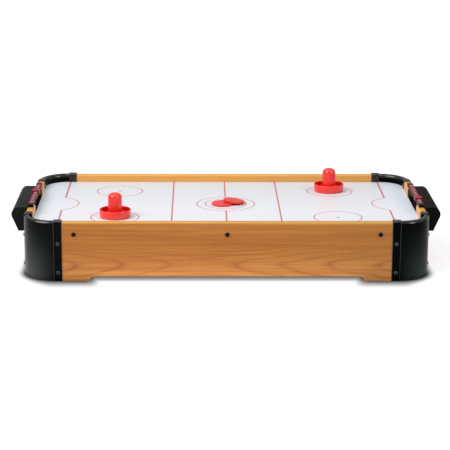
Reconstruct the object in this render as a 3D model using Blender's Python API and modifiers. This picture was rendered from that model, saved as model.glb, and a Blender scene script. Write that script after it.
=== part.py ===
"""Tabletop air hockey table: a wooden box on four feet with moulded corners, a blown playing field,
a goal box and a sliding score marker at each end, two pushers and two pucks.

Metres, +Z up, +X along the table. The origin is the centre of the footprint, on the floor.
"""

import math

import bmesh
import bpy
from mathutils import Matrix, Vector

MM = 0.001

# Wooden box
BODY_LENGTH = 690 * MM
BODY_WIDTH = 369 * MM
RIM_HEIGHT = 102.6 * MM
PANEL_THICKNESS = 12 * MM
PANEL_EDGE_RADIUS = 1.5 * MM
FIT_GAP = 0.3 * MM
HALF_LENGTH = BODY_LENGTH / 2
HALF_WIDTH = BODY_WIDTH / 2
INNER_HALF_LENGTH = HALF_LENGTH - PANEL_THICKNESS
INNER_HALF_WIDTH = HALF_WIDTH - PANEL_THICKNESS
ARCH_HALF_LENGTH = 232 * MM
ARCH_RISE = 8 * MM

# Playing field and the air chamber under it
FIELD_TOP = 88.9 * MM
FIELD_THICKNESS = 4 * MM
FIELD_HALF_LENGTH = INNER_HALF_LENGTH - FIT_GAP
FIELD_HALF_WIDTH = INNER_HALF_WIDTH - 0.5 * MM
FIELD_CORNER_RADIUS = 41.2 * MM
FIELD_BOTTOM = FIELD_TOP - FIELD_THICKNESS
RAIL_SIZE = 12 * MM
RAIL_HALF_LENGTH = 270 * MM
TRAY_HALF_LENGTH = 325 * MM
TRAY_CORNER_RADIUS = 30 * MM
TRAY_WALL = 2 * MM
TRAY_DEPTH = 16.6 * MM
TRAY_BOTTOM = FIELD_BOTTOM - FIT_GAP - TRAY_DEPTH

# Moulded corners: a curved wall with a half-round top, and a collar over each panel's end
CORNER_CENTRE_X = 291.5 * MM
CORNER_CENTRE_Y = 130.5 * MM
CORNER_OUTER_RADIUS = 54.3 * MM
CORNER_INNER_RADIUS = 42 * MM
CORNER_SHELL = 2.5 * MM
CORNER_TOP = 103.8 * MM
COLLAR_WIDTH = 14.5 * MM
COLLAR_TOP = 104.9 * MM
COLLAR_PROUD = 1.5 * MM
COLLAR_EDGE_RADIUS = 2 * MM
CORNER_HOLLOW_CROWN = 2.46 * MM
COLLAR_OVERLAP = 1 * MM
PANEL_SETBACK = 0.8 * MM
COLLAR_END_X = CORNER_CENTRE_X + COLLAR_OVERLAP
COLLAR_END_Y = CORNER_CENTRE_Y + COLLAR_OVERLAP
PANEL_END_X = CORNER_CENTRE_X - PANEL_SETBACK
PANEL_END_Y = CORNER_CENTRE_Y - PANEL_SETBACK
COLLAR_LIP_BOTTOM = FIELD_TOP + FIT_GAP

# Fasteners
BOLT_XS = (-258 * MM, 0.0, 258 * MM)
BOLT_HEIGHT = 80.9 * MM
BOLT_HEAD_RADIUS = 3.7 * MM
BOLT_HEAD_HEIGHT = 2.2 * MM
BOLT_SHANK_RADIUS = 2 * MM
BOLT_LENGTH = 20 * MM
SCREW_X = 285 * MM
SCREW_Y = 124 * MM
SCREW_HEIGHTS = (14.8 * MM, 65.5 * MM)
SCREW_HEAD_RADIUS = 3.1 * MM
SCREW_HEAD_HEIGHT = 1.9 * MM
SCREW_SHANK_RADIUS = 1.5 * MM
SCREW_LENGTH = 9 * MM
PANEL_CUTTER_LENGTH = 40 * MM
COLLAR_CUTTER_LENGTH = 8 * MM

# Goals and score markers
GOAL_HALF_WIDTH = 61 * MM
GOAL_SILL = FIELD_TOP - 1 * MM
GOAL_BOX_HALF_WIDTH = 82 * MM
GOAL_BOX_DEPTH = 28.2 * MM
GOAL_BOX_BOTTOM = 60.4 * MM
GOAL_BOX_FLOOR_DEPTH = 16.7 * MM
GOAL_BOX_ROUND = 12.7 * MM
GOAL_BOX_ROUND_START = math.radians(-20)
GOAL_BOX_WALL = 2.5 * MM
SCORE_AXIS_X = 339.5 * MM
SCORE_FRAME_WIDTH = 10 * MM
SCORE_FRAME_HALF_LENGTH = 83 * MM
SCORE_FRAME_THICKNESS = 2 * MM
SCORE_END_LENGTH = 12 * MM
SCORE_END_HEIGHT = 5.3 * MM
SCORE_EDGE_RADIUS = 1.2 * MM
SCORE_STRIP_WIDTH = 9 * MM
SCORE_STRIP_HALF_LENGTH = 70.6 * MM
SCORE_STRIP_THICKNESS = 2.7 * MM
SCORE_STRIP_EDGE_RADIUS = 0.5 * MM
SLIDER_LENGTH = 14 * MM
SLIDER_TOP_THICKNESS = 2.1 * MM
SLIDER_LEG_THICKNESS = 1 * MM
SLIDER_Y_LEFT = 20 * MM
SLIDER_Y_RIGHT = -33 * MM
SCORE_BASE = RIM_HEIGHT + FIT_GAP
STRIP_BASE = SCORE_BASE + SCORE_FRAME_THICKNESS + FIT_GAP
STRIP_TOP = STRIP_BASE + SCORE_STRIP_THICKNESS

# Pushers and pucks
PLAY_BASE = FIELD_TOP + FIT_GAP
PUSHER_PLACES = {"pusher_left": (-192.6 * MM, -93.6 * MM), "pusher_right": (191.7 * MM, 101.4 * MM)}
PUSHER_RADIUS = 27.3 * MM
PUSHER_RIM_HEIGHT = 13.6 * MM
PUSHER_HEIGHT = 42.8 * MM
KNOB_RADIUS = 11.9 * MM
KNOB_DOME_HEIGHT = 8.5 * MM
PUSHER_WALL = 2 * MM
PUSHER_RIM_WIDTH = 2.3 * MM
PUSHER_RIM_ROUND = 1 * MM
PUSHER_DRAFT = 0.9 * MM
PUSHER_FOOT_WIDTH = 1.7 * MM
PUSHER_FOOT_CHAMFER = 1.2 * MM
DISH_FLOOR = 4 * MM
DISH_FILLET = 1.8 * MM
KNOB_DRAFT = 0.3 * MM
PUCK_RADIUS = 19.05 * MM
PUCK_THICKNESS = 3.6 * MM
PUCK_CHAMFER = 0.6 * MM
PUCK_RIM_WIDTH = 2 * MM
PUCK_HOLLOW = 2 * MM
FLAT_PUCK_X = -6 * MM
FLAT_PUCK_Y = -5.4 * MM
PUCK_SPACING = 22.6 * MM
PUCK_LEAN_DIRECTION = math.radians(23)

# Fan under the air chamber
FAN_RADIUS = 36.5 * MM
FAN_DUCT_WALL = 2.5 * MM
FAN_TOP = TRAY_BOTTOM - FIT_GAP
FAN_HEIGHT = 25.7 * MM
FAN_BOTTOM = FAN_TOP - FAN_HEIGHT
FAN_FLANGE_HALF = 46 * MM
FAN_FLANGE_THICKNESS = 2.5 * MM
FAN_FLANGE_CORNER = 6 * MM
FAN_STRUTS = 3
FAN_STRUT_WIDTH = 5 * MM
FAN_STRUT_HEIGHT = 2.5 * MM
MOTOR_CUP_FLOOR = FAN_BOTTOM + 1 * MM
MOTOR_CUP_WALL = 1.7 * MM
MOTOR_CUP_HEIGHT = 13 * MM
FAN_STRUT_BOTTOM = MOTOR_CUP_FLOOR + 0.5 * MM
MOTOR_BASE = MOTOR_CUP_FLOOR + MOTOR_CUP_WALL + FIT_GAP
MOTOR_RADIUS = 12 * MM
MOTOR_HEIGHT = 13 * MM
MOTOR_CHAMFER = 1 * MM
MOTOR_BORE_RADIUS = 1.4 * MM
MOTOR_BORE_DEPTH = 6 * MM
SHAFT_RADIUS = 1 * MM
HUB_RADIUS = 12.5 * MM
HUB_HEIGHT = 8.4 * MM
HUB_CHAMFER = 1.5 * MM
BLADES = 6
BLADE_TIP_RADIUS = 34.8 * MM
BLADE_ROOT_RADIUS = 11.8 * MM
BLADE_CHORD = 12 * MM
BLADE_THICKNESS = 1.4 * MM
BLADE_PITCH = math.radians(35)
GRILLE_THICKNESS = 2 * MM
GRILLE_RINGS = 5
GRILLE_FIRST_RADIUS = 8 * MM
GRILLE_RING_PITCH = 5.8 * MM
GRILLE_SLOT_WIDTH = 3.4 * MM
GRILLE_SLOTS = 6
GRILLE_BAR_WIDTH = 2.6 * MM

# Batteries and switch
CELLS = 4
CELL_RADIUS = 7.2 * MM
CELL_LENGTH = 49 * MM
CELL_NUB_RADIUS = 2.7 * MM
CELL_NUB_HEIGHT = 1.4 * MM
CELL_PITCH = 15.2 * MM
BATTERY_BOX_X = -140 * MM
BATTERY_BOX_WALL = 2 * MM
BATTERY_BOX_HALF_X = CELLS * CELL_PITCH / 2 + BATTERY_BOX_WALL
BATTERY_BOX_HALF_Y = 28.2 * MM
BATTERY_BOX_DEPTH = 18.6 * MM
BATTERY_BOX_BOTTOM = FAN_TOP - BATTERY_BOX_DEPTH
LID_THICKNESS = 1.8 * MM
LID_RIDGES = 3
LID_RIDGE_LENGTH = 18 * MM
LID_RIDGE_WIDTH = 1.2 * MM
LID_RIDGE_HEIGHT = 0.8 * MM
LID_RIDGE_PITCH = 4 * MM
LID_RIDGE_FIRST_Y = -22 * MM
SWITCH_X = 190 * MM
SWITCH_HEIGHT = 45 * MM
SWITCH_BEZEL = (23 * MM, 16 * MM)
SWITCH_BEZEL_THICKNESS = 1.5 * MM
SWITCH_BEZEL_CORNER = 2 * MM
SWITCH_BODY = (19 * MM, 12.4 * MM)
SWITCH_BODY_DEPTH = 20 * MM
SWITCH_POCKET = (15.4 * MM, 9.6 * MM)
SWITCH_POCKET_DEPTH = 8.6 * MM
ROCKER_WIDTH = 9 * MM
ROCKER_HALF_LENGTH = 6.8 * MM
ROCKER_FACE_MIDDLE = 1.4 * MM
ROCKER_FACE_EDGE = 2.4 * MM
ROCKER_BACK_RADIUS = 5.6 * MM
ROCKER_BACK_START = math.radians(30)
ROCKER_TILT = math.radians(7)
ROCKER_PIVOT_Y = HALF_WIDTH - 0.5 * MM
LEAD_RADIUS = 1.2 * MM
LEAD_STEPS = 5

CYLINDER_STEPS = 24
SMALL_STEPS = 12
ARC_STEPS = 8
DOME_STEPS = 5
HEAD_STEPS = 3


# Scene and helpers

def clear_scene():
    for obj in list(bpy.data.objects):
        bpy.data.objects.remove(obj, do_unlink=True)


def new_collection(name, hidden=False):
    collection = bpy.data.collections.new(name)
    bpy.context.scene.collection.children.link(collection)
    collection.hide_render = hidden
    return collection


def finish(name, colour, roughness, metallic=0.0):
    """A Principled material: linear colour, roughness and metallic value."""
    material = bpy.data.materials.new(name)
    material.use_nodes = True
    shader = material.node_tree.nodes["Principled BSDF"]
    shader.inputs["Base Color"].default_value = (*colour, 1.0)
    shader.inputs["Roughness"].default_value = roughness
    shader.inputs["Metallic"].default_value = metallic
    return material


def add_object(name, data, place=(0.0, 0.0, 0.0), material=None):
    """Links a new object: a part when it has a material, a cutter or other helper when it hasn't."""
    obj = bpy.data.objects.new(name, data)
    obj.location = place
    if material is None:
        obj.hide_render = True
        obj.display_type = "WIRE"
        CUTTERS.objects.link(obj)
    else:
        data.materials.clear()
        data.materials.append(material)
        PARTS.objects.link(obj)
    return obj


def mesh_from(bm, name):
    mesh = bpy.data.meshes.new(name)
    bm.to_mesh(mesh)
    bm.free()
    return mesh


def box(name, low, high, material=None, round_width=0.0, rounded=None, round_steps=3):
    """A box between two corners; rounded(edge) picks the edges that are rounded by round_width."""
    low = Vector(low)
    high = Vector(high)
    bm = bmesh.new()
    bmesh.ops.create_cube(bm, size=1.0)
    bmesh.ops.scale(bm, vec=high - low, verts=bm.verts)
    if rounded:
        edges = [edge for edge in bm.edges if rounded(edge)]
        bmesh.ops.bevel(
            bm, geom=edges, offset=round_width, segments=round_steps, profile=0.5, affect="EDGES"
        )
    return add_object(name, mesh_from(bm, name), (low + high) / 2, material)


def runs_along(edge, axis):
    direction = edge.verts[1].co - edge.verts[0].co
    return abs(direction[axis]) > 0.99 * direction.length


def is_top(edge):
    return min(vert.co.z for vert in edge.verts) > 0


def cylinder(name, radius, length, place, direction, material=None, steps=SMALL_STEPS):
    bm = bmesh.new()
    bmesh.ops.create_cone(
        bm, cap_ends=True, segments=steps, radius1=radius, radius2=radius, depth=length
    )
    obj = add_object(name, mesh_from(bm, name), place, material)
    obj.rotation_euler = turn_to(direction)
    return obj


def turn_to(direction):
    """The rotation that turns +Z to a direction."""
    return Vector((0, 0, 1)).rotation_difference(Vector(direction)).to_euler()


FLAT = (0.0, 0.0, 0.0)
FACING_FRONT = (math.pi / 2, 0.0, 0.0)
FACING_END = (math.pi / 2, 0.0, math.pi / 2)


def plate(name, outlines, thickness, place, turn=FLAT, material=None):
    """A flat plate from closed outlines, the first outside and the others holes. turn lays the outline's
    x and y along X and Y (FLAT), X and Z (FACING_FRONT) or Y and Z (FACING_END)."""
    curve = bpy.data.curves.new(name, "CURVE")
    curve.dimensions = "2D"
    curve.fill_mode = "BOTH"
    curve.extrude = thickness / 2
    for outline in outlines:
        spline = curve.splines.new("POLY")
        spline.points.add(len(outline) - 1)
        for point, (x, y) in zip(spline.points, outline):
            point.co = (x, y, 0.0, 1.0)
        spline.use_cyclic_u = True
    obj = add_object(name, curve, place, material)
    obj.rotation_euler = turn
    return obj


def evaluated_mesh(obj):
    """The object's mesh with its modifiers applied and its loose caps welded; the object is removed."""
    bpy.context.view_layer.update()
    graph = bpy.context.evaluated_depsgraph_get()
    mesh = bpy.data.meshes.new_from_object(obj.evaluated_get(graph))
    bm = bmesh.new()
    bm.from_mesh(mesh)
    bmesh.ops.remove_doubles(bm, verts=bm.verts, dist=0.00001)
    bm.to_mesh(mesh)
    bm.free()
    bpy.data.objects.remove(obj, do_unlink=True)
    return mesh


def meshed(obj, material=None):
    """Turns a curve object into a mesh object in the same place."""
    bpy.context.view_layer.update()
    name = obj.name
    matrix = obj.matrix_world.copy()
    mesh = evaluated_mesh(obj)
    made = add_object(name, mesh, material=material)
    made.matrix_world = matrix
    return made


def arc(centre, radius, start, end, steps=ARC_STEPS):
    """Points along an arc, from the start angle to the end angle in radians."""
    angles = [start + (end - start) * step / steps for step in range(steps + 1)]
    return [
        (centre[0] + radius * math.cos(angle), centre[1] + radius * math.sin(angle))
        for angle in angles
    ]


def circle(centre, radius, steps=SMALL_STEPS):
    return arc(centre, radius, 0.0, 2 * math.pi, steps)[:-1]


def rounded_rectangle(half_x, half_y, radius):
    corners = []
    for quarter, (sx, sy) in enumerate(((1, 1), (-1, 1), (-1, -1), (1, -1))):
        centre = (sx * (half_x - radius), sy * (half_y - radius))
        start = quarter * math.pi / 2
        corners += arc(centre, radius, start, start + math.pi / 2)
    return corners


def turned(name, profile, place, material=None, steps=CYLINDER_STEPS):
    """A turned shape: the profile's (radius, height) points run from the axis down the outside."""
    mesh = bpy.data.meshes.new(name)
    points = [(radius, 0.0, height) for radius, height in profile]
    edges = [(index, index + 1) for index in range(len(points) - 1)]
    mesh.from_pydata(points, edges, [])
    obj = add_object(name, mesh, place, material)
    screw = obj.modifiers.new("turn", "SCREW")
    screw.axis = "Z"
    screw.angle = 2 * math.pi
    screw.steps = steps
    screw.render_steps = steps
    screw.use_merge_vertices = True
    screw.merge_threshold = 0.00001
    screw.use_smooth_shade = True
    return obj


def dome(radius, top, height, steps):
    """A quarter ellipse from the axis at the top down to its full radius, as (radius, height) points."""
    angles = [math.pi / 2 * (1 - step / steps) for step in range(steps + 1)]
    return [
        (radius * max(0.0, math.cos(angle)), top - height + height * math.sin(angle))
        for angle in angles
    ]


def combine(target, other, operation):
    boolean = target.modifiers.new(operation.lower() + "_" + other.name, "BOOLEAN")
    boolean.operation = operation
    boolean.object = other
    boolean.solver = "EXACT"


def cut(target, *cutters):
    for cutter in cutters:
        combine(target, cutter, "DIFFERENCE")


def join(target, *others):
    for other in others:
        combine(target, other, "UNION")


def smooth(obj, angle=math.radians(40)):
    obj.data.shade_smooth()
    obj.data.set_sharp_from_angle(angle=angle)


def clearance_hole(name, shank_radius, length, place, direction):
    """A cutter for a fastener's shank, a fit gap wider than it all round."""
    return cylinder(name, shank_radius + FIT_GAP, length, place, direction)


# Wooden box

def side_holes(side, y):
    """Cutters through a side panel for its bolts and for the corner screws at both ends."""
    out = (0, side, 0)
    holes = []
    for x in BOLT_XS:
        place = (x, y, BOLT_HEIGHT)
        holes.append(clearance_hole("hole_bolt", BOLT_SHANK_RADIUS, PANEL_CUTTER_LENGTH, place, out))
    for x in (-SCREW_X, SCREW_X):
        for height in SCREW_HEIGHTS:
            place = (x, y, height)
            holes.append(
                clearance_hole("hole_screw", SCREW_SHANK_RADIUS, PANEL_CUTTER_LENGTH, place, out)
            )
    return holes


def make_side_panels():
    for side, name in ((-1, "side_panel_front"), (1, "side_panel_back")):
        middle = side * (HALF_WIDTH - PANEL_THICKNESS / 2)
        panel = box(
            name,
            (-PANEL_END_X, middle - PANEL_THICKNESS / 2, 0.0),
            (PANEL_END_X, middle + PANEL_THICKNESS / 2, RIM_HEIGHT),
            WOOD,
            PANEL_EDGE_RADIUS,
            lambda edge: is_top(edge) and runs_along(edge, 0),
        )
        arch = box(
            "arch_" + name,
            (-ARCH_HALF_LENGTH, middle - PANEL_THICKNESS, -ARCH_RISE),
            (ARCH_HALF_LENGTH, middle + PANEL_THICKNESS, ARCH_RISE),
            None,
            ARCH_RISE * 0.95,
            lambda edge: is_top(edge) and runs_along(edge, 1),
            ARC_STEPS,
        )
        cut(panel, arch, *side_holes(side, middle))
        if side > 0:
            cut(panel, switch_opening())


def make_end_panels():
    for side, name in ((-1, "end_panel_left"), (1, "end_panel_right")):
        middle = side * (HALF_LENGTH - PANEL_THICKNESS / 2)
        panel = box(
            name,
            (middle - PANEL_THICKNESS / 2, -PANEL_END_Y, 0.0),
            (middle + PANEL_THICKNESS / 2, PANEL_END_Y, RIM_HEIGHT),
            WOOD,
            PANEL_EDGE_RADIUS,
            lambda edge: is_top(edge) and runs_along(edge, 1),
        )
        notch = box(
            "notch_" + name,
            (middle - PANEL_THICKNESS, -GOAL_HALF_WIDTH, GOAL_SILL),
            (middle + PANEL_THICKNESS, GOAL_HALF_WIDTH, RIM_HEIGHT + PANEL_THICKNESS),
        )
        cut(panel, notch)
        for y in (-SCREW_Y, SCREW_Y):
            for height in SCREW_HEIGHTS:
                place = (middle, y, height)
                hole = clearance_hole(
                    "hole_screw", SCREW_SHANK_RADIUS, PANEL_CUTTER_LENGTH, place, (side, 0, 0)
                )
                cut(panel, hole)


# Moulded corners

def corner_section():
    """The curved wall's section as (radius, height): two legs that meet in a half-round top."""
    half = (CORNER_OUTER_RADIUS - CORNER_INNER_RADIUS) / 2
    middle = CORNER_INNER_RADIUS + half
    shoulder = CORNER_TOP - half
    hollow_top = shoulder + CORNER_HOLLOW_CROWN
    outside = [(CORNER_OUTER_RADIUS, 0.0), *arc((middle, shoulder), half, 0.0, math.pi)]
    inside = [
        (CORNER_INNER_RADIUS, 0.0),
        (CORNER_INNER_RADIUS + CORNER_SHELL, 0.0),
        (CORNER_INNER_RADIUS + CORNER_SHELL, hollow_top),
        (CORNER_OUTER_RADIUS - CORNER_SHELL, hollow_top),
        (CORNER_OUTER_RADIUS - CORNER_SHELL, 0.0),
    ]
    return outside + inside


def curved_wall():
    """The corner's section swept through a quarter turn about the corner's centre."""
    bm = bmesh.new()
    verts = [bm.verts.new((radius, 0.0, height)) for radius, height in corner_section()]
    face = bm.faces.new(verts)
    geometry = [face, *face.edges, *verts]
    bmesh.ops.spin(
        bm, geom=geometry, cent=(0, 0, 0), axis=(0, 0, 1), angle=math.pi / 2, steps=ARC_STEPS + 2
    )
    bmesh.ops.recalc_face_normals(bm, faces=bm.faces)
    mesh = mesh_from(bm, "curved_wall")
    return add_object("curved_wall", mesh, (CORNER_CENTRE_X, CORNER_CENTRE_Y, 0.0))


def collar_on_side():
    """The collar over a side panel's end, as (outer box, cutters), for the corner at +X and +Y."""
    collar = box(
        "collar_side",
        (COLLAR_END_X - COLLAR_WIDTH, INNER_HALF_WIDTH - COLLAR_PROUD, 0.0),
        (COLLAR_END_X, HALF_WIDTH + COLLAR_PROUD, COLLAR_TOP),
        None,
        COLLAR_EDGE_RADIUS,
        lambda edge: is_top(edge) and runs_along(edge, 0),
    )
    slot = box(
        "slot_side",
        (COLLAR_END_X - 2 * COLLAR_WIDTH, INNER_HALF_WIDTH - FIT_GAP, -PANEL_THICKNESS),
        (PANEL_END_X + FIT_GAP, HALF_WIDTH + FIT_GAP, RIM_HEIGHT + FIT_GAP),
    )
    under_lip = box(
        "under_lip_side",
        (COLLAR_END_X - 2 * COLLAR_WIDTH, FIELD_HALF_WIDTH - PANEL_THICKNESS, -PANEL_THICKNESS),
        (COLLAR_END_X + COLLAR_OVERLAP, FIELD_HALF_WIDTH + FIT_GAP, COLLAR_LIP_BOTTOM),
    )
    return collar, (slot, under_lip)


def collar_on_end():
    """The collar over an end panel's end, as (outer box, cutters), for the corner at +X and +Y."""
    collar = box(
        "collar_end",
        (INNER_HALF_LENGTH - COLLAR_PROUD, COLLAR_END_Y - COLLAR_WIDTH, 0.0),
        (HALF_LENGTH + COLLAR_PROUD, COLLAR_END_Y, COLLAR_TOP),
        None,
        COLLAR_EDGE_RADIUS,
        lambda edge: is_top(edge) and runs_along(edge, 1),
    )
    slot = box(
        "slot_end",
        (INNER_HALF_LENGTH - FIT_GAP, COLLAR_END_Y - 2 * COLLAR_WIDTH, -PANEL_THICKNESS),
        (HALF_LENGTH + FIT_GAP, PANEL_END_Y + FIT_GAP, RIM_HEIGHT + FIT_GAP),
    )
    under_lip = box(
        "under_lip_end",
        (FIELD_HALF_LENGTH - PANEL_THICKNESS, COLLAR_END_Y - 2 * COLLAR_WIDTH, -PANEL_THICKNESS),
        (FIELD_HALF_LENGTH + 2 * FIT_GAP, COLLAR_END_Y + COLLAR_OVERLAP, COLLAR_LIP_BOTTOM),
    )
    return collar, (slot, under_lip)


def corner_mesh():
    """The corner at +X and +Y as one mesh in world coordinates."""
    wall = curved_wall()
    side_collar, side_cutters = collar_on_side()
    end_collar, end_cutters = collar_on_end()
    join(wall, side_collar, end_collar)
    cut(wall, *side_cutters, *end_cutters)
    for height in SCREW_HEIGHTS:
        for place, out in (
            ((SCREW_X, HALF_WIDTH, height), (0, 1, 0)),
            ((HALF_LENGTH, SCREW_Y, height), (1, 0, 0)),
        ):
            cut(
                wall,
                clearance_hole("hole_collar", SCREW_SHANK_RADIUS, COLLAR_CUTTER_LENGTH, place, out),
            )
    matrix = Matrix.Translation(wall.location)
    mesh = evaluated_mesh(wall)
    mesh.transform(matrix)
    return mesh


def make_corners():
    """Four corners, each the same moulding or its mirror image."""
    mesh = corner_mesh()
    for sx, end in ((-1, "left"), (1, "right")):
        for sy, side in ((-1, "front"), (1, "back")):
            name = "corner_" + side + "_" + end
            copy = mesh.copy()
            copy.transform(Matrix.Diagonal((sx, sy, 1, 1)))
            if sx * sy < 0:
                copy.flip_normals()
            corner = add_object(name, copy, material=BLACK_PLASTIC)
            smooth(corner)


# Playing field and air chamber

def make_field():
    outline = rounded_rectangle(FIELD_HALF_LENGTH, FIELD_HALF_WIDTH, FIELD_CORNER_RADIUS)
    place = (0.0, 0.0, FIELD_TOP - FIELD_THICKNESS / 2)
    plate("playing_field", [outline], FIELD_THICKNESS, place, FLAT, WHITE_BOARD)


def make_field_rails():
    """A wooden rail under each long edge of the field, which the side bolts go into."""
    for side, name in ((-1, "field_rail_front"), (1, "field_rail_back")):
        outer = side * (INNER_HALF_WIDTH - FIT_GAP)
        middle = outer - side * RAIL_SIZE / 2
        top = FIELD_BOTTOM - FIT_GAP
        rail = box(
            name,
            (-RAIL_HALF_LENGTH, middle - RAIL_SIZE / 2, top - RAIL_SIZE),
            (RAIL_HALF_LENGTH, middle + RAIL_SIZE / 2, top),
            BATTEN,
        )
        for x in BOLT_XS:
            place = (x, middle, BOLT_HEIGHT)
            hole = clearance_hole(
                "hole_rail", BOLT_SHANK_RADIUS, PANEL_CUTTER_LENGTH, place, (0, side, 0)
            )
            cut(rail, hole)


def make_air_chamber():
    """A shallow tray under the field, open at the top, with the fan's opening in its floor."""
    half_width = INNER_HALF_WIDTH - RAIL_SIZE - 2 * FIT_GAP
    middle = TRAY_BOTTOM + TRAY_DEPTH / 2
    outline = rounded_rectangle(TRAY_HALF_LENGTH, half_width, TRAY_CORNER_RADIUS)
    tray = meshed(
        plate("air_chamber_tray", [outline], TRAY_DEPTH, (0, 0, middle), FLAT), TRAY_PLASTIC
    )
    inner = rounded_rectangle(
        TRAY_HALF_LENGTH - TRAY_WALL, half_width - TRAY_WALL, TRAY_CORNER_RADIUS - TRAY_WALL
    )
    hollow = meshed(plate("tray_hollow", [inner], TRAY_DEPTH, (0, 0, middle + TRAY_WALL), FLAT))
    opening = cylinder(
        "tray_fan_opening",
        FAN_RADIUS,
        4 * TRAY_WALL,
        (0, 0, TRAY_BOTTOM),
        (0, 0, 1),
        steps=CYLINDER_STEPS,
    )
    cut(tray, hollow, opening)


# Fasteners

def fastener_profile(head_radius, head_height, shank_radius, length):
    """Domed head over a plain shank, the head's underside at height 0."""
    return [
        *dome(head_radius, head_height, head_height, HEAD_STEPS),
        (shank_radius, 0.0),
        (shank_radius, -length),
        (0.0, -length),
    ]


def copies(mesh, material, places):
    """One object for each (name, place, outward direction), all sharing a mesh turned about Z."""
    for name, place, outward in places:
        obj = add_object(name, mesh, place, material)
        obj.rotation_euler = turn_to(outward)


def make_side_bolts():
    profile = fastener_profile(BOLT_HEAD_RADIUS, BOLT_HEAD_HEIGHT, BOLT_SHANK_RADIUS, BOLT_LENGTH)
    mesh = evaluated_mesh(turned("side_bolt", profile, FLAT, None, SMALL_STEPS))
    places = []
    for side, side_name in ((-1, "front"), (1, "back")):
        for x, x_name in zip(BOLT_XS, ("left", "middle", "right")):
            place = (x, side * (HALF_WIDTH + FIT_GAP), BOLT_HEIGHT)
            places.append(("side_bolt_" + side_name + "_" + x_name, place, (0, side, 0)))
    copies(mesh, BLACK_STEEL, places)


def make_corner_screws():
    profile = fastener_profile(SCREW_HEAD_RADIUS, SCREW_HEAD_HEIGHT, SCREW_SHANK_RADIUS, SCREW_LENGTH)
    mesh = evaluated_mesh(turned("corner_screw", profile, FLAT, None, SMALL_STEPS))
    face_y = HALF_WIDTH + COLLAR_PROUD + FIT_GAP
    face_x = HALF_LENGTH + COLLAR_PROUD + FIT_GAP
    places = []
    for sx, end in ((-1, "left"), (1, "right")):
        for sy, side in ((-1, "front"), (1, "back")):
            for height, level in zip(SCREW_HEIGHTS, ("low", "high")):
                corner = side + "_" + end + "_" + level
                places.append(
                    ("side_screw_" + corner, (sx * SCREW_X, sy * face_y, height), (0, sy, 0))
                )
                places.append(
                    ("end_screw_" + corner, (sx * face_x, sy * SCREW_Y, height), (sx, 0, 0))
                )
    copies(mesh, BLACK_STEEL, places)


# Goals and score markers

def goal_box_outline(inset):
    """The box's section as (distance out from the end panel, height), drawn in by an inset."""
    top = RIM_HEIGHT - inset
    centre = (GOAL_BOX_DEPTH - GOAL_BOX_ROUND, RIM_HEIGHT - GOAL_BOX_ROUND)
    floor_end = (GOAL_BOX_FLOOR_DEPTH - inset, GOAL_BOX_BOTTOM + inset)
    opening = FIT_GAP if inset == 0 else -PANEL_THICKNESS
    rounded = arc(centre, GOAL_BOX_ROUND - inset, GOAL_BOX_ROUND_START, math.pi / 2)
    return [(opening, floor_end[1]), floor_end, *rounded, (opening, top)]


def make_goal_boxes():
    """A hollow box outside each goal, open towards the table."""
    for side, name in ((-1, "goal_box_left"), (1, "goal_box_right")):
        solids = []
        for inset, material in ((0.0, BLACK_PLASTIC), (GOAL_BOX_WALL, None)):
            outline = [(side * (HALF_LENGTH + x), z) for x, z in goal_box_outline(inset)]
            width = 2 * (GOAL_BOX_HALF_WIDTH - inset)
            label = name if material else name + "_hollow"
            flat = plate(label, [outline], width, FLAT, FACING_FRONT)
            solids.append(meshed(flat, material))
        cut(*solids)


def make_score_frames():
    """A black bar across each goal with a raised block at each end."""
    end = SCORE_FRAME_HALF_LENGTH
    block = end - SCORE_END_LENGTH
    radius = SCORE_EDGE_RADIUS
    half = [
        (block, SCORE_FRAME_THICKNESS),
        (block, SCORE_END_HEIGHT),
        *reversed(arc((end - radius, SCORE_END_HEIGHT - radius), radius, 0.0, math.pi / 2, 3)),
        (end, 0.0),
    ]
    outline = half + [(-y, z) for y, z in reversed(half)]
    for side, name in ((-1, "score_frame_left"), (1, "score_frame_right")):
        place = (side * SCORE_AXIS_X, 0.0, SCORE_BASE)
        plate(name, [outline], SCORE_FRAME_WIDTH, place, FACING_END, BLACK_PLASTIC)


def make_score_strips():
    for side, name in ((-1, "score_strip_left"), (1, "score_strip_right")):
        middle = side * SCORE_AXIS_X
        box(
            name,
            (middle - SCORE_STRIP_WIDTH / 2, -SCORE_STRIP_HALF_LENGTH, STRIP_BASE),
            (middle + SCORE_STRIP_WIDTH / 2, SCORE_STRIP_HALF_LENGTH, STRIP_TOP),
            MAROON_PLASTIC,
            SCORE_STRIP_EDGE_RADIUS,
            lambda edge: is_top(edge) and runs_along(edge, 1),
            2,
        )


def make_score_sliders():
    """A saddle over each score strip: a top and two legs down past the strip and its frame."""
    inside = SCORE_FRAME_WIDTH / 2 + FIT_GAP
    outside = inside + SLIDER_LEG_THICKNESS
    ceiling = STRIP_TOP + FIT_GAP
    top = ceiling + SLIDER_TOP_THICKNESS
    foot = SCORE_BASE + FIT_GAP
    radius = SCORE_EDGE_RADIUS
    half = [
        (inside, ceiling),
        (inside, foot),
        (outside, foot),
        *arc((outside - radius, top - radius), radius, 0.0, math.pi / 2, 3),
    ]
    outline = half + [(-x, z) for x, z in reversed(half)]
    for side, name, y in (
        (-1, "score_slider_left", SLIDER_Y_LEFT),
        (1, "score_slider_right", SLIDER_Y_RIGHT),
    ):
        place = (side * SCORE_AXIS_X, y, 0.0)
        plate(name, [outline], SLIDER_LENGTH, place, FACING_FRONT, RED_PLASTIC)


# Pushers and pucks

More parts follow.
